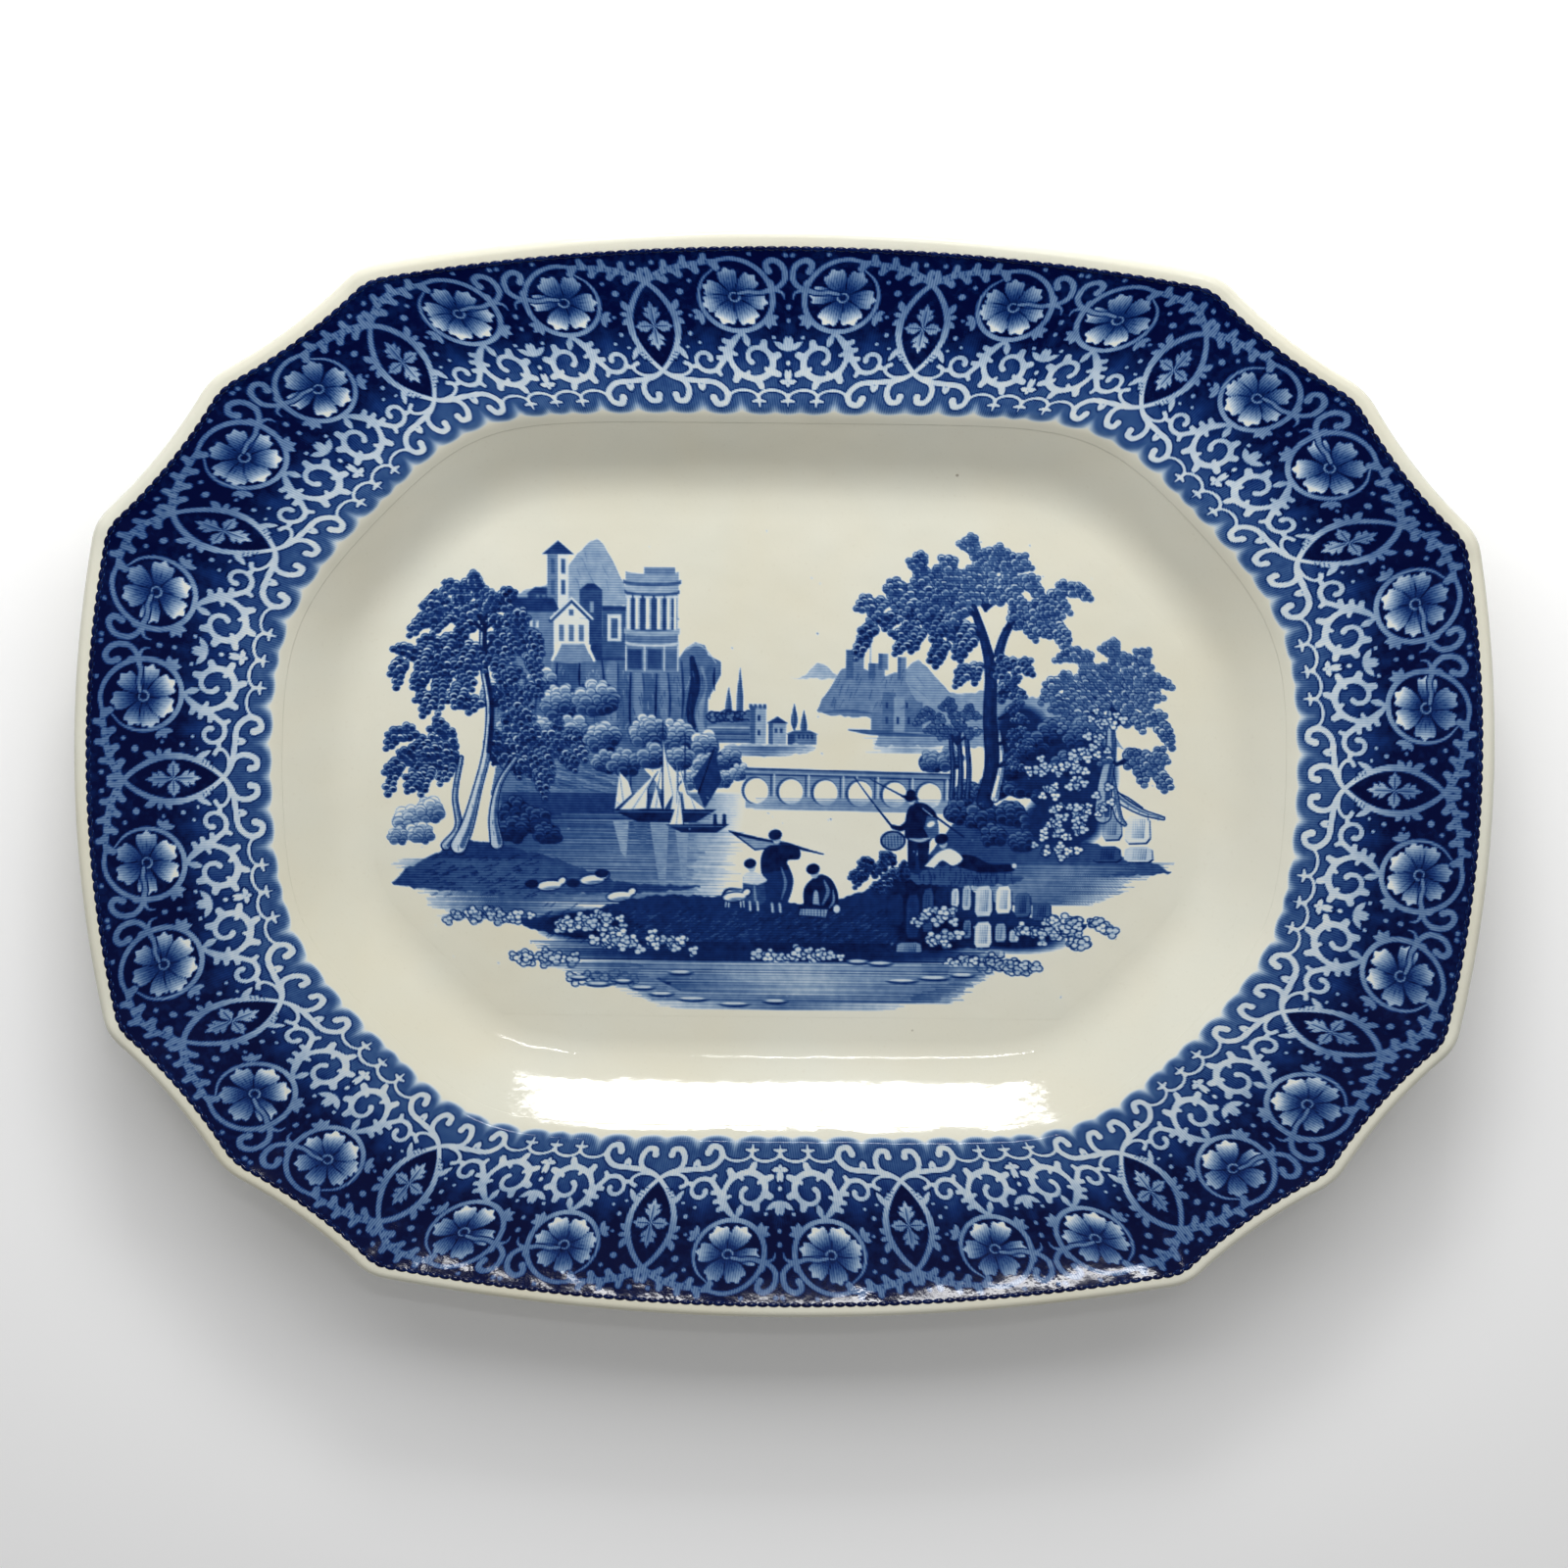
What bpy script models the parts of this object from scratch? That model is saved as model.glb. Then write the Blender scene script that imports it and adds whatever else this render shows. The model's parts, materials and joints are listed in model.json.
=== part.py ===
"""A large octagonal serving platter of glazed earthenware, lying on its foot.

The dish is one pressed bat of clay: a flat well, a sloping wall up to the verge, and a wide rim with a
rounded lip. The foot is a rolled ring of clay, joined to the underside with slip. The origin is on the
table under the middle of the well, +X runs along the platter and +Z is up.
"""

import math

import bmesh
import bpy

# Driving dimensions, in metres.
LENGTH = 0.432
WIDTH = 0.335
FOOT_HEIGHT = 0.003
WELL_THICKNESS = 0.006
WELL_DEPTH = 0.017
RIM_RISE = 0.0133
RIM_TURN_UP = 0.3
RIM_THICKNESS = 0.0052
LIP_RADIUS = RIM_THICKNESS / 2
SLIP_GAP = 0.0003

# The outline has two long arcs, two short arcs and four cut corners, each with a low lobe in its middle.
LONG_CORNER = (0.1278, 0.1553)
SHORT_CORNER = (0.2078, 0.0791)
LOBE_RISE = 0.0068
CUT_HOLLOW = 0.0024
CORNER_SOFTNESS = 0.011

# The verge, where the rim turns down into the well, is a soft octagon. The well's floor and the foot
# follow the same octagon, drawn in.
VERGE_HALF_LENGTH = 0.1586
VERGE_HALF_WIDTH = 0.1133
VERGE_CUT = 0.1480
OCTAGON_SHARPNESS = 16
WALL_RUN = 0.028
WALL_BEND = 0.45
FOOT_INSET = 0.027
FOOT_WIDTH = 0.0055
FOOT_SPLAY = 0.0008
FOOT_SOFTNESS = 0.0008

# Low ridges run in across the rim from the outline's eight corners.
CREASE_HEIGHT = 0.0007
CREASE_WIDTH = math.radians(2.6)

# The section's points, as shares of the wall's run, of the rim's width and of the lip's half turn.
WALL_SHARES = (0, 0.11, 0.22, 0.34, 0.45, 0.7, 0.94)
RIM_SHARES = (0.03, 0.2, 0.4, 0.6, 0.8, 1)
LIP_SHARES = (1 / 6, 1 / 3, 1 / 2, 2 / 3, 5 / 6)

OUTLINE_STEP = 0.001
COLUMNS = 120
FLOOR_Z = FOOT_HEIGHT + WELL_THICKNESS
VERGE_Z = FLOOR_Z + WELL_DEPTH
EARTHENWARE = (0.78, 0.74, 0.66, 1.0)


def bow(start, end, rise):
    """Points from start up to, but not at, end along a shallow bow that stands rise outside its chord."""
    (x0, y0), (x1, y1) = start, end
    chord = math.dist(start, end)
    steps = round(chord / OUTLINE_STEP)
    points = []
    for i in range(steps):
        s = i / steps
        stand = 4 * rise * s * (1 - s) / chord
        points.append((x0 + (x1 - x0) * s + (y1 - y0) * stand, y0 + (y1 - y0) * s - (x1 - x0) * stand))
    return points


def sharp_outline():
    """The platter's edge from above, counter-clockwise from the right, with its corners still sharp."""
    (ax, ay), (bx, by) = LONG_CORNER, SHORT_CORNER
    cut = math.dist(LONG_CORNER, SHORT_CORNER)
    lobe = ((ax + bx + 2 * LOBE_RISE * (ay - by) / cut) / 2, (ay + by + 2 * LOBE_RISE * (bx - ax) / cut) / 2)
    quarter = [SHORT_CORNER, lobe, LONG_CORNER]
    half = quarter + [(-x, y) for x, y in reversed(quarter)]
    corners = half + [(-x, -y) for x, y in half]
    rises = 2 * [-CUT_HOLLOW, -CUT_HOLLOW, WIDTH / 2 - ay, -CUT_HOLLOW, -CUT_HOLLOW, LENGTH / 2 - bx]
    points = []
    for start, end, rise in zip(corners, corners[1:] + corners[:1], rises):
        points += bow(start, end, rise)
    return points


def softened(points):
    """The closed outline with each point moved to the mean of its neighbours, which rounds the corners."""
    reach = round(CORNER_SOFTNESS / OUTLINE_STEP / 2)
    count = len(points)
    soft = []
    for i in range(count):
        near = [points[(i + j) % count] for j in range(-reach, reach + 1)]
        soft.append((sum(x for x, _ in near) / len(near), sum(y for _, y in near) / len(near)))
    return soft


def octagon(angle, inset):
    """Distance from the middle to the verge's octagon, drawn in by inset, in the direction angle."""
    x, y = abs(math.cos(angle)), abs(math.sin(angle))
    sides = (
        x / (VERGE_HALF_LENGTH - inset),
        y / (VERGE_HALF_WIDTH - inset),
        (x + y) / math.sqrt(2) / (VERGE_CUT - inset),
    )
    return sum(side**OCTAGON_SHARPNESS for side in sides) ** (-1 / OCTAGON_SHARPNESS)


def crease(angle):
    """Height of the ridges that run in from the outline's corners, where they reach the lip."""
    folded = math.atan2(abs(math.sin(angle)), abs(math.cos(angle)))
    corners = [math.atan2(y, x) for x, y in (LONG_CORNER, SHORT_CORNER)]
    return CREASE_HEIGHT * sum(math.exp(-(((folded - corner) / CREASE_WIDTH) ** 2)) for corner in corners)


def wall_rise(share):
    """Share of the well's depth that its wall has climbed: a hollow curve up to the bend, then straight."""
    slope = 1 / (1 - WALL_BEND / 2)
    if share < WALL_BEND:
        return slope * share**2 / (2 * WALL_BEND)
    return slope * (share - WALL_BEND / 2)


def rim_rise(share):
    """Share of the rim's rise that it has climbed: it turns up a little more towards the lip."""
    return (1 - RIM_TURN_UP) * share + RIM_TURN_UP * share**3


def wall(angle, floor_z, top_z):
    """One face of the well's wall in one direction, as (distance, height) points from the floor up."""
    depth = top_z - floor_z
    return [(octagon(angle, WALL_RUN * (1 - s)), floor_z + depth * wall_rise(s)) for s in WALL_SHARES]


def section(angle, edge):
    """The clay's section in one direction, as (distance, height) points from the well's floor over the rim
    and the lip and back under the foot. edge is the distance to the outline."""
    verge, lip = octagon(angle, 0), edge - LIP_RADIUS
    ridge = crease(angle)
    rim = [(verge + (lip - verge) * s, VERGE_Z + RIM_RISE * rim_rise(s) + ridge * s) for s in RIM_SHARES]
    under_rim = [(r, z - RIM_THICKNESS) for r, z in rim]

    lip_z = rim[-1][1] - LIP_RADIUS
    turns = [math.pi * s for s in LIP_SHARES]
    edge_round = [(lip + LIP_RADIUS * math.sin(t), lip_z + LIP_RADIUS * math.cos(t)) for t in turns]

    above = wall(angle, FLOOR_Z, VERGE_Z)
    below = wall(angle, FOOT_HEIGHT, VERGE_Z - RIM_THICKNESS)
    return above + rim + edge_round + under_rim[::-1] + below[::-1]


def swept(name, sections, closed):
    """An object whose skin runs through the same section in every column. A closed section makes a ring,
    and an open one gets a level face at each end."""
    bm = bmesh.new()
    columns = []
    for angle, points in sections:
        columns.append([bm.verts.new((r * math.cos(angle), r * math.sin(angle), z)) for r, z in points])
    for here, there in zip(columns, columns[1:] + columns[:1]):
        for i in range(len(here) - (0 if closed else 1)):
            j = (i + 1) % len(here)
            bm.faces.new((here[i], here[j], there[j], there[i]))
    if not closed:
        bm.faces.new([column[0] for column in columns])
        bm.faces.new([column[-1] for column in columns])
    bmesh.ops.recalc_face_normals(bm, faces=bm.faces)
    mesh = bpy.data.meshes.new(name)
    bm.to_mesh(mesh)
    bm.free()
    mesh.shade_smooth()
    mesh.set_sharp_from_angle(angle=math.radians(35))
    obj = bpy.data.objects.new(name, mesh)
    bpy.context.scene.collection.objects.link(obj)
    return obj


def coat(obj, roughness):
    """Gives the piece its own cream earthenware material."""
    material = bpy.data.materials.new(obj.name)
    material.use_nodes = True
    shader = material.node_tree.nodes["Principled BSDF"]
    shader.inputs["Base Color"].default_value = EARTHENWARE
    shader.inputs["Roughness"].default_value = roughness
    obj.data.materials.append(material)


def make_body(columns):
    """The well, its wall, the rim and the rounded lip, as one shell of glazed clay."""
    body = swept("dish_body", [(angle, section(angle, edge)) for angle, edge in columns], closed=False)
    coat(body, roughness=0.08)
    return body


def make_foot(columns):
    """The ring of clay under the edge of the well, with a level face to stand on."""
    outside, inside = FOOT_INSET, FOOT_INSET + FOOT_WIDTH
    top = FOOT_HEIGHT - SLIP_GAP
    corners = [(outside - FOOT_SPLAY, top), (outside, 0), (inside, 0), (inside + FOOT_SPLAY, top)]
    sections = [(angle, [(octagon(angle, inset), z) for inset, z in corners]) for angle, _ in columns]
    foot = swept("foot_ring", sections, closed=True)
    coat(foot, roughness=0.35)
    soften = foot.modifiers.new("soften", "BEVEL")
    soften.width = FOOT_SOFTNESS
    soften.segments = 2
    soften.limit_method = "ANGLE"
    soften.angle_limit = math.radians(50)
    return foot


for old in list(bpy.data.objects):
    bpy.data.objects.remove(old)

outline = softened(sharp_outline())
spread = [outline[round(i * len(outline) / COLUMNS)] for i in range(COLUMNS)]
rim_columns = [(math.atan2(y, x), math.hypot(x, y)) for x, y in spread]

platter = bpy.data.objects.new("platter", None)
bpy.context.scene.collection.objects.link(platter)
for piece in (make_body(rim_columns), make_foot(rim_columns)):
    piece.parent = platter
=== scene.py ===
import json
import math

import bpy
import numpy as np
from mathutils import Euler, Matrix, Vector


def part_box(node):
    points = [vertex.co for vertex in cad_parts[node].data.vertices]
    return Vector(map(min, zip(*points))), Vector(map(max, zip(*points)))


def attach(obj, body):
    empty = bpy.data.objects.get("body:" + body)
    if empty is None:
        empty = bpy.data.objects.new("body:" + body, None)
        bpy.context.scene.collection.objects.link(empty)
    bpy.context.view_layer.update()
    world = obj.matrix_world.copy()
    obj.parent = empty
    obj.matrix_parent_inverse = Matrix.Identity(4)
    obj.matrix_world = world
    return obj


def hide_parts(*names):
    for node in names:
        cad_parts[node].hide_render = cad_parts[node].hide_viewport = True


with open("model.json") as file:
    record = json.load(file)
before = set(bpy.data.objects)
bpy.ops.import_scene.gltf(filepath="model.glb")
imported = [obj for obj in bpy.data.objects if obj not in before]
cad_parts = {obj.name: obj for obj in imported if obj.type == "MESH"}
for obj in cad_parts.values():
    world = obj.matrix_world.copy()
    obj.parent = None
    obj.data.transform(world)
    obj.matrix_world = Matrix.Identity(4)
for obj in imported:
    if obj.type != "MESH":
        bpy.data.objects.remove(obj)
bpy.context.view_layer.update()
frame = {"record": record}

# ------------------------------------------------------------
# Sizes, in metres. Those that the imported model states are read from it.
# ------------------------------------------------------------
BODY_LOW, BODY_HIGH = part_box("dish_body")
LENGTH, WIDTH = BODY_HIGH[0] - BODY_LOW[0], BODY_HIGH[1] - BODY_LOW[1]
LIP_TOP = BODY_HIGH[2]
BASE_Z = BODY_LOW[2]
MOUNTS = {mount["name"]: mount for mount in frame["record"]["mounts"]}
FLOOR_Z = MOUNTS["well_floor"]["pos_m"][2]

RIM_THICKNESS = 0.0052
RIM_RISE = 0.0133
RIM_STRAIGHT = 0.7  # the share of the rise that is an even slope; the rest steepens towards the lip
CREASE_HEIGHT = 0.0007
CREASE_REACH = 0.0045
VERGE_Z = LIP_TOP - CREASE_HEIGHT - RIM_RISE
LIP_INSET = 0.0026
# Where a long and a short side of the outline meet a cut corner.
LONG_CORNER = (0.1278, 0.1553)
SHORT_CORNER = (0.2078, 0.0791)
LOBE_RISE = 0.0068
CUT_HOLLOW = 0.0024
CORNER_SOFTNESS = 0.011
# The verge's octagon: half its length, half its width, and half its width across the cut corners.
VERGE = (0.1586, 0.1133, 0.1480)
VERGE_DRIFT = 0.1  # how strongly points on the verge shift along it, between the middles of its sides
OCTAGON_SHARPNESS = 16
WALL_RUN = 0.028
WALL_BEND = 0.45
RIM_RUN = 0.057
VERGE_SOFTNESS = 0.007

UNITS = 14
MM = 0.001
PLAN_STEP = 0.0005
PROFILE_STEP = 0.00025


# ------------------------------------------------------------
# The platter's curves in plan. Each is read by the share of its length from the middle of the top side,
# clockwise as seen from above.
# ------------------------------------------------------------
def bow(start, end, rise, step=PLAN_STEP):
    """Points from start up to, but not at, end along a shallow bow that stands rise outside its chord."""
    (x0, y0), (x1, y1) = start, end
    chord = math.dist(start, end)
    s = np.arange(round(chord / step)) * step / chord
    stand = 4 * rise * s * (1 - s) / chord
    return np.stack([x0 + (x1 - x0) * s + (y1 - y0) * stand, y0 + (y1 - y0) * s - (x1 - x0) * stand], axis=1)


def rim_outline():
    """The platter's edge, counter-clockwise, with its corners softened."""
    (ax, ay), (bx, by) = LONG_CORNER, SHORT_CORNER
    cut = math.dist(LONG_CORNER, SHORT_CORNER)
    lobe = ((ax + bx + 2 * LOBE_RISE * (ay - by) / cut) / 2, (ay + by + 2 * LOBE_RISE * (bx - ax) / cut) / 2)
    quarter = [SHORT_CORNER, lobe, LONG_CORNER]
    half = quarter + [(-x, y) for x, y in reversed(quarter)]
    corners = half + [(-x, -y) for x, y in half]
    rises = 2 * [-CUT_HOLLOW, -CUT_HOLLOW, WIDTH / 2 - ay, -CUT_HOLLOW, -CUT_HOLLOW, LENGTH / 2 - bx]
    sides = zip(corners, corners[1:] + corners[:1], rises)
    points = np.concatenate([bow(start, end, rise) for start, end, rise in sides])
    reach = round(CORNER_SOFTNESS / PLAN_STEP / 2)
    return np.mean([np.roll(points, k, axis=0) for k in range(-reach, reach + 1)], axis=0)


def octagon(inset):
    """The verge's soft octagon, counter-clockwise, drawn in by inset."""
    angle = np.linspace(0, 2 * math.pi, 2400, endpoint=False)
    x, y = abs(np.cos(angle)), abs(np.sin(angle))
    along, across, cut = (half - inset for half in VERGE)
    sides = np.stack([x / along, y / across, (x + y) / math.sqrt(2) / cut])
    distance = (sides**OCTAGON_SHARPNESS).sum(axis=0) ** (-1 / OCTAGON_SHARPNESS)
    return np.stack([distance * np.cos(angle), distance * np.sin(angle)], axis=1)


def outward(points):
    """The unit normal, pointing out, at each point of a counter-clockwise loop."""
    run = np.roll(points, -1, axis=0) - np.roll(points, 1, axis=0)
    return np.stack([run[:, 1], -run[:, 0]], axis=1) / np.linalg.norm(run, axis=1)[:, None]


class Loop:
    """A closed curve that is read by the share of its length."""

    def __init__(self, points, values=None):
        points = points[::-1]
        self.values = points if values is None else values[::-1]
        steps = np.linalg.norm(np.roll(points, -1, axis=0) - points, axis=1)
        along = np.concatenate([[0], np.cumsum(steps)[:-1]])
        self.length = steps.sum()
        top = np.argmin(np.where(points[:, 1] > 0, abs(points[:, 0]), np.inf))
        self.shares = ((along - along[top]) / self.length) % 1

    def __call__(self, share):
        return np.stack([np.interp(share, self.shares, column, period=1) for column in self.values.T], axis=-1)


EDGE = rim_outline()
EDGE_OUT = outward(EDGE)
CREST = Loop(EDGE - LIP_INSET * EDGE_OUT)
CREST_OUT = Loop(EDGE - LIP_INSET * EDGE_OUT, EDGE_OUT)
VERGE_LOOP = Loop(octagon(0))
FLOOR_LOOP = Loop(octagon(WALL_RUN))
CORNER_SHARES = [
    CREST.shares[np.argmin(np.linalg.norm(CREST.values - np.array(corner), axis=1))]
    for corner in [(x * i, y * j) for x, y in (LONG_CORNER, SHORT_CORNER) for i in (1, -1) for j in (1, -1)]
]


def profile():
    """Height above the floor against distance from the verge, smoothed where the wall meets the rim."""
    margin = 0.02
    distance = np.arange(-WALL_RUN - margin, RIM_RUN + margin + 0.0001, PROFILE_STEP)
    share = np.clip(1 + distance / WALL_RUN, 0, 1)
    slope = 1 / (1 - WALL_BEND / 2)
    rise = np.where(share < WALL_BEND, slope * share**2 / (2 * WALL_BEND), slope * (share - WALL_BEND / 2))
    wall = (VERGE_Z - FLOOR_Z) * rise
    share = np.maximum(distance / RIM_RUN, 0)
    rim = RIM_RISE * (RIM_STRAIGHT * share + (1 - RIM_STRAIGHT) * share**3)
    reach = round(VERGE_SOFTNESS / PROFILE_STEP / 2)
    window = np.hanning(2 * reach + 3)[1:-1]
    height = np.convolve(wall + rim, window / window.sum(), mode="same")
    return distance[reach:-reach], height[reach:-reach]


PROFILE = profile()


def surface(s, t, lift=0.0):
    """Points on the platter's upper face. s is the share round the edge; t runs from -1 at the floor's edge
    through 0 at the verge to 1 at the crest of the lip."""
    inner = s + VERGE_DRIFT * np.sin(8 * math.pi * s) / (8 * math.pi)
    crest, verge, floor = CREST(s), VERGE_LOOP(inner), FLOOR_LOOP(inner)
    t = np.asarray(t)[..., None]
    plan = np.where(t < 0, verge + (verge - floor) * t, verge + (crest - verge) * t)
    t = t[..., 0]
    height = FLOOR_Z + np.interp(np.where(t < 0, t * WALL_RUN, t * RIM_RUN), *PROFILE)
    apart = np.stack([abs((s - corner + 0.5) % 1 - 0.5) for corner in CORNER_SHARES]).min(axis=0) * CREST.length
    ridge = CREASE_HEIGHT * np.exp(-((apart / CREASE_REACH) ** 2))
    height = height + ridge * np.clip(t, 0, 1)
    return np.concatenate([plan, (height + lift)[..., None]], axis=-1)


# ------------------------------------------------------------
# Drawing in ink on a fine grid, in millimetres. 0 is bare glaze and 1 is solid blue.
# ------------------------------------------------------------
def flow(points, steps=7):
    """A smooth path through the points, each a tuple of any length."""
    p = np.array(points, float)
    p = np.concatenate([[2 * p[0] - p[1]], p, [2 * p[-1] - p[-2]]])
    u = (np.arange(steps) / steps)[:, None]
    parts = []
    for a, b, c, d in zip(p, p[1:], p[2:], p[3:]):
        square, cube = 2 * a - 5 * b + 4 * c - d, 3 * b - a - 3 * c + d
        parts.append(0.5 * (2 * b + (c - a) * u + square * u**2 + cube * u**3))
    return np.concatenate(parts + [p[-2:-1]])


def turned(x, y, turn):
    """Offsets x and y, measured along and across the direction turn."""
    c, s = math.cos(turn), math.sin(turn)
    return x * c + y * s, y * c - x * s


def polar(centre, radius, turn):
    """The place at a distance from centre, in the direction turn."""
    return centre[0] + radius * math.cos(turn), centre[1] + radius * math.sin(turn)


class Drawing:
    """A grid of ink, with the places of its columns and rows."""

    def __init__(self, left, right, low, high, step):
        self.step = step
        self.x = np.arange(left, right + step, step)
        self.y = np.arange(low, high + step, step)
        self.ink = np.zeros((len(self.y), len(self.x)))

    def window(self, x, y, reach):
        """The part of the grid within reach of the points."""
        i0, i1 = (int((v - self.x[0]) / self.step) for v in (np.min(x) - reach, np.max(x) + reach))
        j0, j1 = (int((v - self.y[0]) / self.step) for v in (np.min(y) - reach, np.max(y) + reach))
        part = np.s_[max(j0, 0) : max(j1 + 2, 0), max(i0, 0) : max(i1 + 2, 0)]
        return part, self.x[part[1]][None, :], self.y[part[0]][:, None]

    def lay(self, part, distance, ink, soft=None):
        """Lays ink where distance, in millimetres, is below zero. ink is a number, or an array for the part
        or for the whole grid."""
        if np.shape(ink) == self.ink.shape:
            ink = ink[part]
        cover = np.clip(0.5 - distance / (soft or 1.6 * self.step), 0, 1)
        self.ink[part] += (ink - self.ink[part]) * cover

    def stroke_distance(self, path, x, y):
        """Distance to a line that swells and thins. Each point of the path is (x, y, width)."""
        nearest = np.full(np.broadcast_shapes(x.shape, y.shape), np.inf)
        for (x0, y0, w0), (x1, y1, w1) in zip(path, path[1:]):
            dx, dy = x1 - x0, y1 - y0
            along = np.clip(((x - x0) * dx + (y - y0) * dy) / max(dx * dx + dy * dy, 1e-9), 0, 1)
            away = np.hypot(x - x0 - along * dx, y - y0 - along * dy) - (w0 + (w1 - w0) * along) / 2
            np.minimum(nearest, away, out=nearest)
        return nearest

    def stroke(self, points, ink, soft=None, smooth=True):
        """A line that swells and thins, smooth unless told otherwise."""
        path = flow(points) if smooth else np.array(points, float)
        part, x, y = self.window(path[:, 0], path[:, 1], path[:, 2].max() + 1)
        self.lay(part, self.stroke_distance(path, x, y), ink, soft)

    def line(self, points, ink):
        """A line of straight parts."""
        self.stroke(points, ink, smooth=False)

    def spot(self, x0, y0, rx, ry, turn, ink, soft=None):
        """A filled ellipse."""
        part, x, y = self.window([x0], [y0], max(rx, ry) + 1)
        along, across = turned(x - x0, y - y0, turn)
        distance = (np.hypot(along / rx, across / ry) - 1) * min(rx, ry)
        self.lay(part, distance, ink, soft)

    def leaf(self, x0, y0, length, width, turn, ink, soft=None):
        """A leaf pointed at both ends, growing from (x0, y0) in the direction turn."""
        part, x, y = self.window([x0], [y0], length + 1)
        along, across = turned(x - x0, y - y0, turn)
        share = along / length
        distance = abs(across) - 2 * width * share * (1 - share)
        distance = np.where((share < 0) | (share > 1), np.maximum(distance, 0.2), distance)
        self.lay(part, distance, ink, soft)

    def patch(self, points, ink, soft=None, smooth=False):
        """A filled outline."""
        path = flow(points) if smooth else np.array(points, float)
        part, x, y = self.window(path[:, 0], path[:, 1], 1)
        ring = np.column_stack([np.concatenate([path, path[:1]]), np.zeros(len(path) + 1)])
        inside = np.zeros(np.broadcast_shapes(x.shape, y.shape), bool)
        for (x0, y0, _), (x1, y1, _) in zip(ring, ring[1:]):
            if y0 != y1:
                inside ^= ((y0 > y) != (y1 > y)) & (x < x0 + (y - y0) * (x1 - x0) / (y1 - y0))
        distance = self.stroke_distance(ring, x, y)
        self.lay(part, np.where(inside, -distance, distance), ink, soft)

    def read(self, x, y):
        """The ink at any points, between the grid's."""
        i = np.clip((x - self.x[0]) / self.step, 0, len(self.x) - 1.001)
        j = np.clip((y - self.y[0]) / self.step, 0, len(self.y) - 1.001)
        i0, j0 = i.astype(int), j.astype(int)
        i, j = i - i0, j - j0
        ink = self.ink
        low = ink[j0, i0] * (1 - i) + ink[j0, i0 + 1] * i
        high = ink[j0 + 1, i0] * (1 - i) + ink[j0 + 1, i0 + 1] * i
        return low * (1 - j) + high * j


def ramp(value, *stops):
    """Reads value between (at, result) stops, and holds it beyond them."""
    at, result = zip(*stops)
    return np.interp(value, at, result)


# ------------------------------------------------------------
# The border: one half of a repeat, from the axis of the pointed oval at x = 0 to the axis between two
# flowers. y is the depth from the rim's edge. The other half is its mirror image. The roundel and the
# scrolls are volutes, and angles run from +x towards the well.
# ------------------------------------------------------------
BORDER_DEPTH = 56.0
UNIT_OUTER, UNIT_INNER = 90.8, 76.0
BEADS_PER_UNIT = 26

OVAL_TOP, OVAL_LENGTH, OVAL_HALF_WIDTH = 9.8, 30.2, 7.4
OVAL_FOOT = OVAL_TOP + OVAL_LENGTH
OVAL_MIDDLE = OVAL_TOP + OVAL_LENGTH / 2
INNER_DEPTH = 50.0
FLOWER = (26.5, 15.5)
ROUNDEL_RADIUS = 12.0
SCROLL = (30.5, 36.0)
SCROLL_RADIUS = 8.0
SIDE_SCROLL = (14.6, 36.2)
SIDE_RADIUS = 4.6
ARCH_PITCH = 9.3
OUTLINE = 0.7
DOTS = [((43, 19), 1.0), ((42.5, 23.5), 0.9), ((40.5, 37.5), 0.9), ((10, 13.5), 1.1), ((13.4, 10), 0.7)]
DOTS += [((11, 27.5), 0.8), ((12, 21.5), 0.6), ((33, 1.6), 0.7), ((3, 3.6), 0.8), ((44, 2), 0.8)]
DOTS += [((9.4, 32), 0.6), ((37, 29), 0.7), ((13.5, 30.6), 0.6), ((36.5, 24.5), 0.6)]

# The petals of the two flowers, from the back to the front: angle, length, half spread and paleness.
PETALS = [
    [(-120, 9.4, 28, 0.3), (-62, 9.8, 30, 0.42), (176, 9.8, 28, 0.55), (-4, 10.2, 25, 0.7)],
    [(-100, 9.4, 28, 0.35), (-44, 9.6, 26, 0.45), (-158, 9.6, 25, 0.5)]
    + [(12, 10.0, 24, 0.65), (164, 10.2, 24, 0.7)],
]
FRONT_PETALS = [(118, 9.8, 31, 1.0), (62, 10.0, 30, 1.0)]


def unit_width(depth):
    """Width in millimetres of one repeat as drawn, which narrows towards the well."""
    return UNIT_OUTER + (UNIT_INNER - UNIT_OUTER) * depth / BORDER_DEPTH


def tapered(points, widths):
    """The points with a width at each, read evenly between the widths given."""
    shares = np.linspace(0, 1, len(points))
    return [(x, y, w) for (x, y), w in zip(points, np.interp(shares, np.linspace(0, 1, len(widths)), widths))]


def volute(centre, outer, inner, start, sweep, hold=1.0):
    """A spiral round centre that starts at the angle start, turns by sweep degrees and closes in. A hold
    above 1 keeps it wide for longer."""
    steps = max(6, round(abs(sweep) / 24))
    points = []
    for k in range(steps + 1):
        radius = outer * (inner / outer) ** ((k / steps) ** hold)
        points.append(polar(centre, radius, math.radians(start + sweep * k / steps)))
    return points


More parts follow.
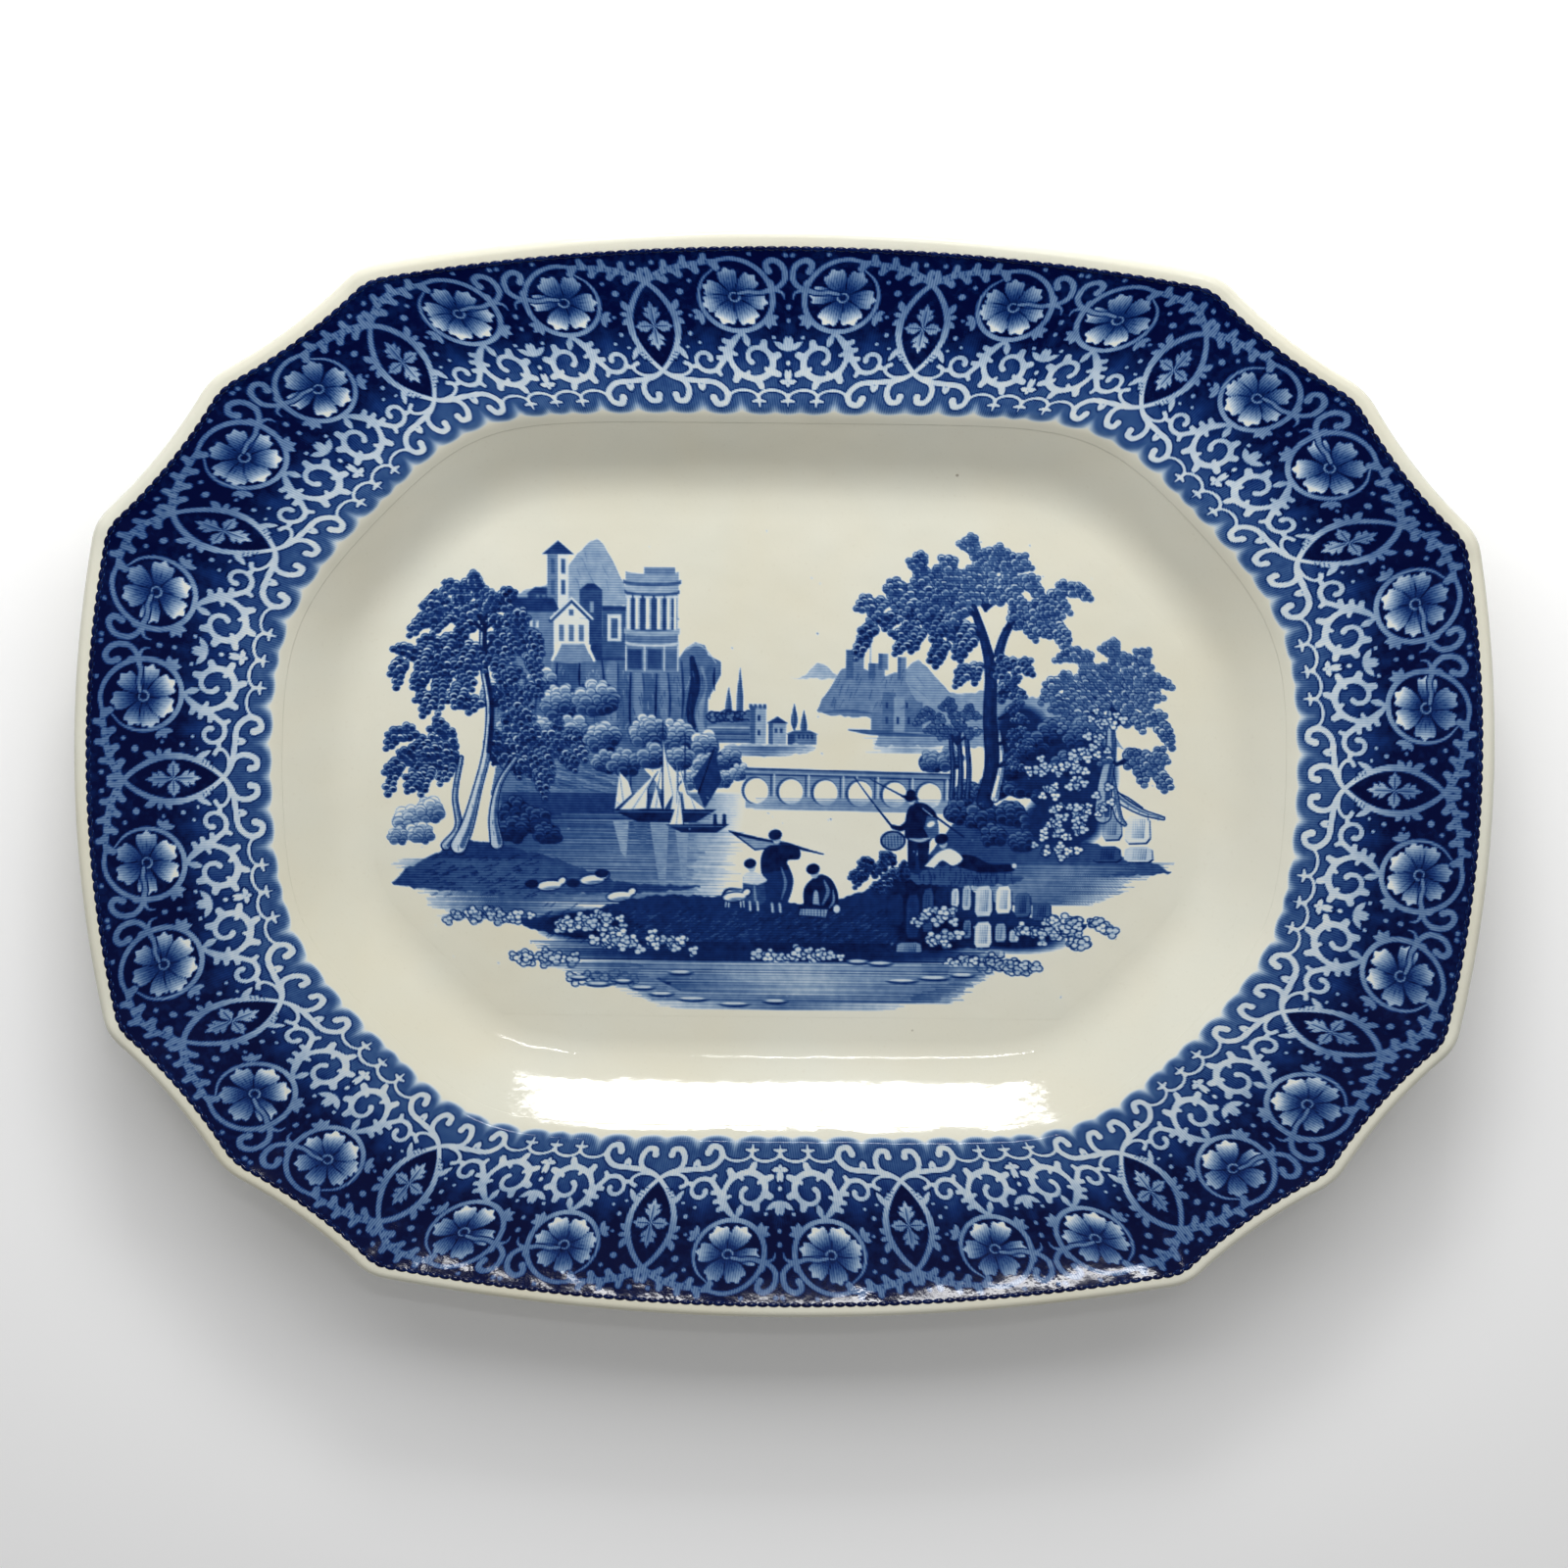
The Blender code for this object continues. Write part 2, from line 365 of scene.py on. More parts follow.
def petal(art, centre, angle, length, spread, pale):
    """One ruffled petal, dark at the heart and palest near its tip. spread is half its width in degrees."""
    x0, y0 = centre
    part, x, y = art.window([x0], [y0], length + 1)
    away = np.hypot(x - x0, y - y0)
    swing = (np.degrees(np.arctan2(y - y0, x - x0)) - angle + 180) % 360 - 180
    across = swing / spread
    edge = length * (1 - 0.36 * abs(across) ** 3 + 0.05 * np.cos(3 * math.pi * across))
    distance = np.maximum(away - edge, (abs(across) - 1) * math.radians(spread) * away)
    tip = np.clip(away / length * 1.6 - 0.45, 0, 1)
    tone = 0.82 - (0.28 + 0.54 * pale) * tip * (1 - 0.4 * across**2)
    vein = np.clip(1 - abs(np.sin(2 * math.pi * across)) * 2.6, 0, 1)
    tone = tone + 0.22 * vein * np.clip(2.4 - 2.6 * away / length, 0, 1)
    art.lay(part, distance - OUTLINE / 2, 1.0)
    art.lay(part, distance, np.clip(tone, 0.05, 0.92))


def flower(art, centre, variant):
    """A flower of overlapping petals, the two palest in front towards the well, round a ringed heart."""
    for angle, length, spread, pale in PETALS[variant] + FRONT_PETALS:
        petal(art, centre, angle, length, spread, pale)
    art.spot(*centre, 2.1, 2.1, 0, 0.95)
    art.stroke(tapered(volute(centre, 1.7, 1.2, 0, 310), (0.7, 0.5)), 0.42)


def sprig(art, pen):
    """Lobed leaves that cross in the pointed oval."""
    middle = (0, OVAL_MIDDLE)
    for turn, length in ((0, 6.0), (-math.pi / 2, 8.5), (math.pi / 2, 8.5)):
        art.leaf(*middle, length, 2.6, turn, pen)
        for side in (-1, 1):
            for at, reach in ((0.25, 0.46), (0.5, 0.38)):
                art.leaf(*polar(middle, length * at, turn), length * reach, 1.5, turn + side * 0.8, pen)
        art.line([(*polar(middle, length * at, turn), width) for at, width in ((0.15, 0.3), (0.7, 0.15))], 0.8)


def crossings():
    """Where the small crosses stand along the inner edge: one on the axis and one before it."""
    axis = unit_width(INNER_DEPTH) / 2
    return [axis - ARCH_PITCH, axis]


def bays():
    """Round bays of the blue ground's inner edge, as (x, depth, radius), one for each curl and cross."""
    curls = [(-5.0, INNER_DEPTH - 2.5, 7.0), (5.0, INNER_DEPTH - 2.5, 7.0), (17.2, INNER_DEPTH - 2.2, 7.0)]
    return curls + [(x, INNER_DEPTH - 1.4, 6.3) for x in crossings()]


def ground(art):
    """Solid blue at the rim, paler towards the well, with a soft edge that follows the bays."""
    x, depth = art.x[None, :], art.y[:, None]
    wobble = 1.6 * np.sin(x * 0.42 + 1.3) + 1.1 * np.sin(x * 0.9)
    tone = ramp(depth + wobble, (0, 1.0), (23, 1.0), (28, 0.94), (33, 0.81), (38, 0.72), (46, 0.65), (54, 0.62))
    sharpness = 2.0
    near = np.exp(-sharpness * (depth - INNER_DEPTH + 0.5)) + 0 * x
    for bay_x, bay_depth, radius in bays():
        near = near + np.exp(-sharpness * (np.hypot(x - bay_x, depth - bay_depth) - radius))
    outside = -np.log(near) / sharpness
    fade = np.clip(0.5 + outside / 3.4, 0, 1)
    art.ink[:] = np.where(depth > 40, tone * (1 - fade * fade * (3 - 2 * fade)), tone)


def fringe(line, path, start, stop, count, length, side):
    """Rounded leaf lobes along one side of a path, growing forward and curling out."""
    for k in range(count):
        at = start + (stop - start) * k / max(count - 1, 1)
        i = min(int(at * (len(path) - 1)), len(path) - 2)
        (x0, y0), (x1, y1) = path[i], path[i + 1]
        heading = math.atan2(y1 - y0, x1 - x0)
        reach = length * (1 - 0.3 * k / count)
        points = [(x0, y0)]
        for share, swing in ((0.5, 0.4), (0.85, 0.75)):
            points.append(polar((x0, y0), reach * share, heading + side * swing))
        line(points, 0.3 * length, 0.52 * length, 0.46 * length)


def draw_scrolls(line, leaf):
    """The roundel, the scrolls under it and their leaves. line and leaf draw with the pen of the pass."""
    line(volute(FLOWER, ROUNDEL_RADIUS + 0.7, ROUNDEL_RADIUS - 1.5, -112, 350), 1.3, 1.8, 1.7, 1.6, 0.6)
    for turn in (math.radians(38), math.radians(152)):
        for swing, reach in ((-0.9, 3.8), (0.0, 3.4), (0.9, 3.4)):
            leaf(polar(FLOWER, ROUNDEL_RADIUS, turn), reach, 1.9, turn + swing)
    leaf(polar(FLOWER, ROUNDEL_RADIUS, math.radians(84)), 5.0, 2.4, math.radians(78))

    big = volute(SCROLL, SCROLL_RADIUS + 1.0, 2.0, -108, -470, 1.5)
    line(big, 1.4, 2.0, 2.3, 2.3, 1.9, 1.6, 2.2)
    fringe(line, big, 0.24, 0.6, 5, 5.0, 1)
    fringe(line, big, 0.12, 0.42, 3, 3.2, -1)

    neck = [(26.0, 28.8), (22.8, 32.0), (20.8, 35.6), (18.6, 38.6)]
    line(neck, 1.2, 2.6, 2.2, 1.8)
    fringe(line, flow(neck, 5), 0.15, 0.6, 3, 4.0, 1)
    small = volute(SIDE_SCROLL, SIDE_RADIUS, 1.4, 30, 330, 1.4)
    line(small, 1.8, 1.7, 1.5, 2.1)
    fringe(line, small, 0.05, 0.35, 2, 3.4, -1)


def draw_oval(line, leaf):
    """The pointed oval, whose sides cross at its foot and run on into the arms and curls."""
    shares = np.linspace(0, 1, 11)
    side = [(OVAL_HALF_WIDTH * math.sin(math.pi * u) ** 0.85, OVAL_TOP + OVAL_LENGTH * u) for u in shares]
    line(side, 1.6, 2.2, 1.5)
    for rise, reach, width, turn in ((-5, 4.4, 2.2, -1.2), (-3, 3.6, 2.0, 0.7), (-4, 3.0, 1.8, -0.2)):
        leaf((OVAL_HALF_WIDTH - 0.3, OVAL_MIDDLE + rise), reach, width, turn)
    for reach, turn in ((6.2, 1.05), (5.4, 1.75)):
        leaf((5.9, OVAL_FOOT - 9), reach, 2.1, turn)
    arm = [(-3.4, OVAL_FOOT - 4), (0, OVAL_FOOT), (4.6, OVAL_FOOT + 2.6), (11, OVAL_FOOT + 3.4)]
    curl = [(16.6, OVAL_FOOT + 4.2), (19.6, 47.4), (18.8, 50.6), (16.0, 51.2), (15.0, 49.2)]
    line(arm + curl, 1.2, 1.9, 1.9, 2.2, 2.0, 2.7)
    line([(3, 42), (6.4, 43.8), (7.4, 46.8), (5.8, 50), (3.2, 50), (2.8, 48.2)], 1.0, 1.9, 2.3, 1.9, 2.5)
    line([(1.8, 41), (5.8, 41.6), (8.8, 40.2), (9.2, 38.2), (7.8, 37.4)], 0.8, 1.3, 1.3, 1.7)
    for x, heading in ((10.6, 1.25), (13, 1.9)):
        leaf((x, OVAL_FOOT + 3.6), 3.6, 1.5, heading)


def draw_stem(line, leaf):
    """The stem that leaves the flower's heart and ends in an open hook under the rim."""
    line([(28, 14.5), (31, 14), (35, 14.2), (39, 13)], 1.1, 1.6)
    hook = [(36.5, 13.6), (40.5, 12.4), (43, 9.4), (42.6, 5.4), (39.8, 3.6), (37.6, 5), (38.2, 7.2)]
    line(hook, 1.2, 1.7, 2.0, 1.8, 2.3)
    line([(38.5, 13.2), (41.4, 14.2), (42, 16.4)], 1.5, 0.4)
    leaf((39.5, 12), 3.2, 1.6, -2.3)


def draw_inner_edge(line):
    """Shallow arches hung between crosses along the edge of the ground."""
    turns = np.linspace(math.pi, 2 * math.pi, 9)
    half, edge = ARCH_PITCH / 2, INNER_DEPTH
    for cross in crossings():
        for middle in (cross - half, cross + half):
            line([(middle + half * math.cos(a), edge - 0.8 + 2.7 * math.sin(a)) for a in turns], 1.0, 1.1, 1.0)
        line([(cross, edge - 1.6), (cross, edge), (cross, edge + 2.4)], 1.5, 1.3, 0.4)
        line([(cross - 2.0, edge + 0.3), (cross, edge), (cross + 2.0, edge + 0.3)], 0.8, 1.3, 0.8)


def draw_axis(leaf):
    """The cup of three leaves and the small trefoil that stand on the axis between two flowers."""
    cup, trefoil = 33.5, 44.0
    for heading, reach, width in ((-90, 5.2, 2.6), (-142, 5.4, 2.2)):
        leaf((unit_width(cup) / 2, cup), reach, width, math.radians(heading))
    for heading, reach, width in ((-90, 4.6, 2.0), (-170, 2.8, 1.9), (90, 1.8, 1.6)):
        leaf((unit_width(trefoil) / 2, trefoil), reach, width, math.radians(heading))


def border_half(variant):
    """Draws half a repeat. The two variants differ in their flowers."""
    art = Drawing(-4, 49, -3, 66, 0.14)
    x, depth = art.x[None, :], art.y[:, None]
    ground(art)
    light = ramp(depth, (0, 0.5), (22, 0.45), (31, 0.24), (38, 0.13), (60, 0.08))
    light = np.broadcast_to(light, art.ink.shape)
    shares = np.linspace(0, 1, 9)
    inside = [(0, OVAL_TOP + OVAL_LENGTH * u) for u in shares]
    widths = [0.2 + 2 * OVAL_HALF_WIDTH * math.sin(math.pi * u) for u in shares]
    art.stroke(tapered(inside, widths), 1.0, soft=1.5)
    art.spot(*FLOWER, ROUNDEL_RADIUS - 0.6, ROUNDEL_RADIUS - 0.6, 0, 1.0, soft=1.5)
    art.stroke([(44, 27, 6), (42, 33, 3), (40, 38, 1)], 0.86, soft=4)

    # Everything light is drawn twice: first a little wider in darker blue, as the engraver's outline.
    outline_ink = np.where(depth > 24, np.minimum(art.ink + 0.3, 1.0), 1.0)
    branch = [(-5, OVAL_TOP + 4.6), (0, OVAL_TOP), (6, 6.6), (13, 4.8), (21, 3.8)]
    twig = flow(branch, 6)
    for grow, pen in ((OUTLINE, outline_ink), (0.0, light)):

        def line(points, *widths):
            art.stroke([(px, py, w + grow) for px, py, w in tapered(points, widths)], pen)

        def leaf(place, length, width, turn):
            art.leaf(*place, length + grow, width + grow, turn, pen)

        line(branch, 1.6, 2.2, 2.0, 1.6)
        fringe(line, twig, 0.27, 0.88, 4, 4.6, -1)
        fringe(line, twig, 0.37, 0.97, 4, 5.0, 1)
        draw_scrolls(line, leaf)
        draw_oval(line, leaf)
        draw_inner_edge(line)
        draw_axis(leaf)
        for place, radius in DOTS:
            art.spot(*place, radius + grow / 2, radius + grow / 2, 0, pen)
        if grow:
            flower(art, FLOWER, variant)
        draw_stem(line, leaf)
        sprig(art, pen)

    # Fine cross-cuts shade the leafy branch and the oval's foot.
    for px, py in twig[9::2]:
        art.line([(px - 0.4, py - 0.8, 0.2), (px + 0.4, py + 1.2, 0.3)], 0.85)
    for k in range(4):
        art.line([(4.8 - 0.6 * k, 33.6 + k, 0.25), (6.6 - 0.6 * k, 34.2 + k, 0.25)], 0.7)

    # The print ends in a row of small scallops along the moulded beads.
    beads = 0.55 - 0.55 * abs(np.cos(math.pi * x / (UNIT_OUTER / BEADS_PER_UNIT)))
    art.ink *= np.clip(0.5 + (depth - beads) / 0.3, 0, 1)
    return art


# ------------------------------------------------------------
# The landscape in the well: a river scene in the romantic taste. Its layout follows the photo's, read off
# and rounded, and its details are plainer. Places and sizes are in millimetres from the middle of the well,
# +y towards the top, and it is drawn roughly from the distance forward.
# ------------------------------------------------------------
SCENE_LEFT, SCENE_RIGHT, SCENE_HIGH = -128.0, 124.0, 78.0
SCENE_CORNER = 166.0
WATER_LEVEL = -6.0
TUFT = 1.25


def lobe(art, x, y, radius, body, lit, edge=0.95):
    """One cluster of leaves: dark at its edge, with a lit crescent along its upper side."""
    art.spot(x, y, radius + 0.22, 0.9 * radius + 0.22, 0, edge)
    art.spot(x, y, radius, 0.88 * radius, 0, lit)
    art.spot(x + 0.14 * radius, y - 0.24 * radius, 0.84 * radius, 0.66 * radius, 0, body)


def spray(art, rng, start, tip, arch, size, tones):
    """A leafy twig: lobes on both sides of an arching line, smaller towards its tip. tones are the ink of
    a lobe's body, the ink of its lit part, and the share of lobes that shine."""
    body, lit, shine = tones
    (x0, y0), (x1, y1) = start, tip
    reach = max(math.dist(start, tip), 0.1)
    count = max(2, round(reach / (1.25 * size)))
    for k in range(count + 1):
        share = k / count
        radius = size * (1 - 0.3 * share) * rng.uniform(0.85, 1.15)
        x = x0 + (x1 - x0) * share
        y = y0 + (y1 - y0) * share + 4 * arch * share * (1 - share)
        for side in (-1, 1) if k < count else (0,):
            away = side * radius * rng.uniform(0.7, 1.1) / reach
            tone = rng.uniform(-0.07, 0.07)
            bright = lit + tone - 0.3 * (rng.uniform() < shine)
            lobe(art, x + (y0 - y1) * away, y + (x1 - x0) * away, radius, body + tone, max(bright, 0.05))


def bough(art, rng, start, tip, arch, size, tones):
    """A branch with twigs above and below it in turn, all of them hanging a little."""
    reach = math.dist(start, tip)
    heading = math.atan2(tip[1] - start[1], tip[0] - start[0])
    count = max(2, round(reach / 4.0))
    stops = []
    for share in np.linspace(0, 1, count + 1):
        x = start[0] + (tip[0] - start[0]) * share
        y = start[1] + (tip[1] - start[1]) * share + 4 * arch * share * (1 - share)
        stops.append((x, y, 1.0 - 0.8 * share))
    art.stroke(stops, 0.92)
    for k in range(1, count):
        x, y, _ = stops[k]
        turn = heading + (1 if k % 2 else -1) * rng.uniform(0.6, 1.1)
        length = min(0.3 * reach, 7.0) * rng.uniform(0.6, 1.2)
        end = (x + length * math.cos(turn), y + length * (math.sin(turn) - 0.35))
        spray(art, rng, (x, y), end, 0.1 * length, size, tones)
    spray(art, rng, stops[-2][:2], tip, 0.3, size, tones)


def crown(art, rng, start, boughs, tones, size=TUFT):
    """Boughs that spread from one place. Each is given by its tip and by how far it arches."""
    for x, y, arch in boughs:
        bough(art, rng, start, (x, y), arch, size, tones)


def bush(art, rng, x, y, radius, body, lit):
    """A rounded bush of uneven tufts laid from the top down, palest on its crown and upper left."""
    art.spot(x, y, radius, radius * 0.8, 0, min(body + 0.15, 0.95))
    tuft = min(1.5, 0.32 * radius)
    for level in np.arange(0.85, -0.75, -1.15 * tuft / radius):
        across = radius * math.sqrt(1 - level**2)
        count = max(2, round(across / tuft))
        for k in range(count):
            side = 2 * (k + 0.5) / count - 1
            px = x + across * side + rng.uniform(-0.6, 0.6)
            py = y + 0.85 * radius * level - 0.25 * radius * side**2 * (level > 0) + rng.uniform(-0.6, 0.6)
            tone = lit + (body - lit) * min(max(0.5 - 0.85 * level + 0.35 * side, 0), 1.2)
            size = tuft * rng.uniform(0.7, 1.35)
            lobe(art, px, py, size, min(tone + 0.22, 0.92), max(tone - 0.05, 0.02), min(tone + 0.4, 0.95))


def bushes(art, rng, places, body, lit):
    for x, y, radius in places:
        bush(art, rng, x, y, radius, body, lit)


def leaves(art, rng, start, end, spread, count, ink=0.05, size=0.72):
    """Pale leaves of three lobes with dark outlines, spaced between two places."""
    for k in range(count):
        share = (k + rng.uniform(-0.4, 1.4)) / count
        x = start[0] + (end[0] - start[0]) * share + rng.normal(0, spread)
        y = start[1] + (end[1] - start[1]) * share + rng.normal(0, spread * 0.6)
        turn = rng.uniform(0, 2 * math.pi)
        radius = size * rng.uniform(0.8, 1.2)
        centres = [polar((x, y), radius, turn + 2.1 * j) for j in range(3)]
        for grow, tone in ((0.34, 0.93), (0.0, max(ink + rng.uniform(-0.03, 0.12), 0.02))):
            for px, py in centres:
                art.spot(px, py, radius + grow, radius * 0.8 + grow, 0, tone)
        art.spot(x, y - 0.1, 0.25, 0.25, 0, 0.6)


def level_lines(art, rng, left, right, low, high, count, ink, weight=0.32):
    """Engraved level lines of uneven length. left and right are each the limit at (low, high)."""
    for k in range(count):
        share = (k + rng.uniform(-0.3, 0.3)) / count
        y = low + (high - low) * share
        start = left[0] + (left[1] - left[0]) * share + rng.uniform(-3, 3)
        end = right[0] + (right[1] - right[0]) * share + rng.uniform(-3, 3)
        art.line([(start, y, 0.05), ((start + end) / 2, y, weight), (end, y, 0.05)], ink)


def land(art, rng, left, right, low, humps, ink, below=0.0, rough=0.3, soft=None):
    """A hill, rock or bank. Each hump is (x, height, spread). below bows its lower edge downwards."""
    tallest = sum(height for _, height, _ in humps)
    part, x, y = art.window([left, right], [low - below, low + tallest], 1)
    top = sum(height * np.exp(-(((x - at) / spread) ** 2)) for at, height, spread in humps)
    phases = rng.uniform(0, 2 * math.pi, 4)
    grain = sum(np.sin(x * (0.9 + 0.7 * k) + phase) / (k + 1.5) for k, phase in enumerate(phases))
    middle = np.clip((x - left) * (right - x) / ((right - left) / 2) ** 2, 0, 1)
    top = low + (top + rough * grain) * np.clip(middle * 6, 0, 1)
    bottom = low - below * np.sqrt(middle) + rough * grain
    distance = np.maximum(np.maximum(y - top, bottom - y), np.maximum(left - x, x - right))
    art.lay(part, distance, ink, soft)


def strokes(art, rng, left, right, low, high, count, ink, length, lean=0.0, weight=0.3):
    """Short engraved strokes scattered over a rectangle, on ink that is already there."""
    for _ in range(count):
        x, y = rng.uniform(left, right), rng.uniform(low, high)
        if art.read(np.array(x), np.array(y)) > 0.25:
            tip = (x + lean + rng.uniform(-0.5, 0.5), y - length * rng.uniform(0.6, 1.2), 0.1)
            art.line([(x, y, weight), tip], ink)


def block(art, x, y, width, height, ink):
    """A wall that stands on y, with x as its left edge."""
    art.patch([(x, y), (x + width, y), (x + width, y + height), (x, y + height)], ink)


def openings(art, x, y, width, height, pitch, count, ink):
    for k in range(count):
        block(art, x + k * pitch, y, width, height, ink)


def gable(art, x, y, width, height, ink, flat=0.0):
    """A roof on the wall top at y. flat is the share of its width that its ridge takes."""
    half, ridge = width / 2, width * flat / 2
    art.patch([(x, y), (x + width, y), (x + half + ridge, y + height), (x + half - ridge, y + height)], ink)


def house(art, x, y, width, height, roof, tone, windows, flat=0.5, roof_ink=0.76):
    """A plain building: shaded at its left side, with one row of windows under the eaves."""
    block(art, x, y, width, height, tone)
    block(art, x, y, width * 0.25, height, min(tone + 0.3, 0.7))
    gable(art, x - 0.6, y + height, width + 1.2, roof, roof_ink, flat)
    openings(art, x + width * 0.35, y + height * 0.55, 0.8, 1.4, width * 0.6 / windows, windows, 0.75)


def draw_distance(art, rng):
    """The pale peak, the far hills, a castle on its crag and a ruin across the water."""
    land(art, rng, -90, -46, 52, [(-57.5, 17, 7.5), (-66, 9, 8), (-79, 4.5, 9)], 0.3)
    strokes(art, rng, -84, -50, 58, 72, 30, 0.42, 3.0, 1.0)
    land(art, rng, 1, 20, 30, [(11, 5, 4)], 0.22)
    land(art, rng, 28, 106, 9, [(40, 24, 10), (62, 17, 16), (88, 16, 14)], 0.34)
    strokes(art, rng, 30, 104, 14, 32, 60, 0.44, 3.0, 3.0)

    land(art, rng, 10, 44, 20, [(18, 9, 6), (27, 11, 9), (36, 8, 4)], 0.44, below=2)
    for x, y, width, height in ((19, 30, 5.5, 9), (26, 30, 5, 5), (29, 33, 3, 5), (35, 30, 2.6, 7)):
        block(art, x, y, width, height, 0.45)
        block(art, x, y, width * 0.4, height, 0.6)
    strokes(art, rng, 12, 40, 22, 34, 36, 0.64, 3.0, -1.0)
    art.line([(26.5, 35, 0.3), (26.5, 42, 0.15)], 0.5)
    art.stroke([(12, 19.5, 0.2), (20, 20, 0.9), (30, 19, 0.2)], 0.6)

    ruin = ((27, 4, 6, 0.5), (30.5, 4, 12.5, 0.56), (34, 3.4, 11, 0.36), (37.5, 5.5, 9.5, 0.54))
    for x, width, height, ink in ruin:
        block(art, x, 13.5, width, height, ink)
    land(art, rng, 36, 44, 21, [(39.5, 4, 2)], 0.5)
    openings(art, 31.5, 16, 0.8, 2.2, 3.4, 3, 0.78)
    openings(art, 31.5, 21, 0.7, 1.8, 6.2, 2, 0.78)
    art.stroke([(20, 14, 0.4), (28, 13.2, 1.6), (40, 12.6, 0.9), (49, 12.4, 0.4)], 0.64)
    level_lines(art, rng, (28, 25), (50, 51), 7, 12, 9, 0.45)


def draw_town(art, rng):
    """A walled quay with a square tower, a house and cypresses."""
    for x, base, tip in ((-17.5, 17, 27), (-14, 17, 33), (3, 14, 22), (6, 12, 20)):
        art.stroke([(x, base, 0.6), (x, base + 2, 1.9), (x, (base + tip) / 2, 1.8), (x, tip, 0.15)], 0.66)
        art.line([(x - 0.5, base + 2, 0.3), (x - 0.3, tip - 2, 0.2)], 0.42)
    block(art, -24, 9.5, 13.5, 7.5, 0.52)
    for y, ink in ((17, 0.7), (14.4, 0.2), (12.4, 0.75), (10.6, 0.7)):
        art.line([(-24, y, 0.5), (-10.5, y, 0.5)], ink)
    leaves(art, rng, (-23, 17.8), (-12, 18), 0.5, 16, 0.5, 0.8)
    block(art, -10.8, 9.2, 5, 12, 0.3)
    block(art, -10.8, 9.2, 1.7, 12, 0.62)
    openings(art, -11.1, 20.4, 1.0, 1.4, 1.45, 4, 0.62)
    block(art, -8.4, 12, 0.8, 1.6, 0.8)
    block(art, -8.4, 16.5, 0.8, 1.8, 0.8)
    house(art, -5, 9.2, 5.5, 6.6, 2.2, 0.3, 2, flat=0.0)
    house(art, 1, 9.2, 9, 3.2, 1.2, 0.5, 4, roof_ink=0.66)
    land(art, rng, -19, 10, 8.5, [(-10, 0.8, 8), (4, 0.8, 5)], 0.22, below=3)
    level_lines(art, rng, (-16, -17), (-2, 9), 5.5, 8.8, 8, 0.6, 0.4)


def draw_villa(art, rng):
    """A villa with a look-out tower, a gable front and steps."""
    house(art, -80, 52, 10, 3.5, 2.2, 0.5, 3)
    block(art, -74, 52, 6.6, 16, 0.08)
    block(art, -74, 52, 3.2, 16, 0.46)
    for y in (55.5, 62):
        openings(art, -72.9, y, 1.2, 4.5, 3.2, 2, 0.62)
    gable(art, -75.6, 68, 9.8, 4.2, 0.76)
    block(art, -86, 34, 14, 16, 0.47)
    openings(art, -79.5, 45, 0.9, 2.4, 1.9, 2, 0.1)
    gable(art, -87, 50, 17, 4.4, 0.78, 0.75)
    block(art, -64, 40, 7, 17, 0.7)
    gable(art, -64, 57, 7, 2, 0.8, 0.3)
    block(art, -60.8, 50, 1.2, 3.4, 0.35)
    block(art, -57, 36, 7.4, 16, 0.62)
    block(art, -57, 50.6, 7.4, 1.4, 0.78)
    block(art, -55.4, 41, 4.4, 8.5, 0.1)
    block(art, -54.2, 42, 2.0, 6.2, 0.6)

    block(art, -72, 40, 11, 8, 0.06)
    gable(art, -72, 48, 11, 5, 0.06)
    art.line([(-73, 47.4, 1.4), (-66.5, 53.8, 1.4), (-60, 47.4, 1.4)], 0.7)
    art.line([(-73, 48, 0.7), (-66.5, 54.4, 0.7), (-60, 48, 0.7)], 0.08)
    openings(art, -70.4, 41, 1.5, 5, 3.1, 3, 0.5)
    block(art, -67.3, 49, 1.4, 1.8, 0.55)
    gable(art, -72, 34.5, 12, 5.5, 0.38, 0.6)
    for side in (-1, 1):
        art.line([(-66 + 4 * side, 40.5, 1.0), (-66 + 6.5 * side, 35, 1.0)], 0.04)


def draw_temple(art, middle, base, half):
    """A round temple seen a little from below: stepped top, cornice, columns, plinth and arched drum."""

    def course(low, high, share, ink):
        across = [half * share * math.cos(a) for a in np.linspace(math.pi, 0, 9)]
        sag = [0.9 * math.sin(a) for a in np.linspace(0, math.pi, 9)]
        lower = [(middle + dx, base + low - dy) for dx, dy in zip(across, sag)]
        upper = [(middle + dx, base + high - dy) for dx, dy in zip(across, sag)]
        art.patch(lower + upper[::-1], ink)

    course(0, 8.5, 0.98, 0.46)
    for at, ink in ((-0.64, 0.74), (0.1, 0.7), (0.72, 0.56)):
        block(art, middle + half * at - 2.2, base + 0.4, 4.4, 6.2, ink)
    for at in (-0.96, -0.27, 0.46, 0.96):
        art.line([(middle + half * at, base, 0.5), (middle + half * at, base + 7.5, 0.5)], 0.12)
    courses = ((8.3, 9.3, 1.0, 0.16), (9.2, 11.8, 0.96, 0.5), (11.6, 13.4, 1.03, 0.3), (13.2, 24.5, 0.94, 0.72))
    for low, high, share, ink in courses:
        course(low, high, share, ink)
    for at in (-0.86, -0.54, -0.14, 0.27, 0.62, 0.87):
        x, width = middle + half * at, 1.7 * math.sqrt(1 - (0.8 * at) ** 2)
        block(art, x - width / 2, base + 12.8, width, 10.8, 0.05)
        block(art, x + width / 5, base + 12.8, width * 0.3, 10.4, 0.34)
        block(art, x - width * 0.8, base + 22.6, width * 1.6, 0.9, 0.14)
    tops = ((24.2, 25.2, 1.02, 0.66), (25, 27.4, 0.98, 0.28), (27.2, 28.4, 1.07, 0.62), (28.2, 31, 0.98, 0.32))
    for low, high, share, ink in tops:
        course(low, high, share, ink)
    block(art, middle - half * 0.3, base + 30, half * 1.15, 2.2, 0.44)


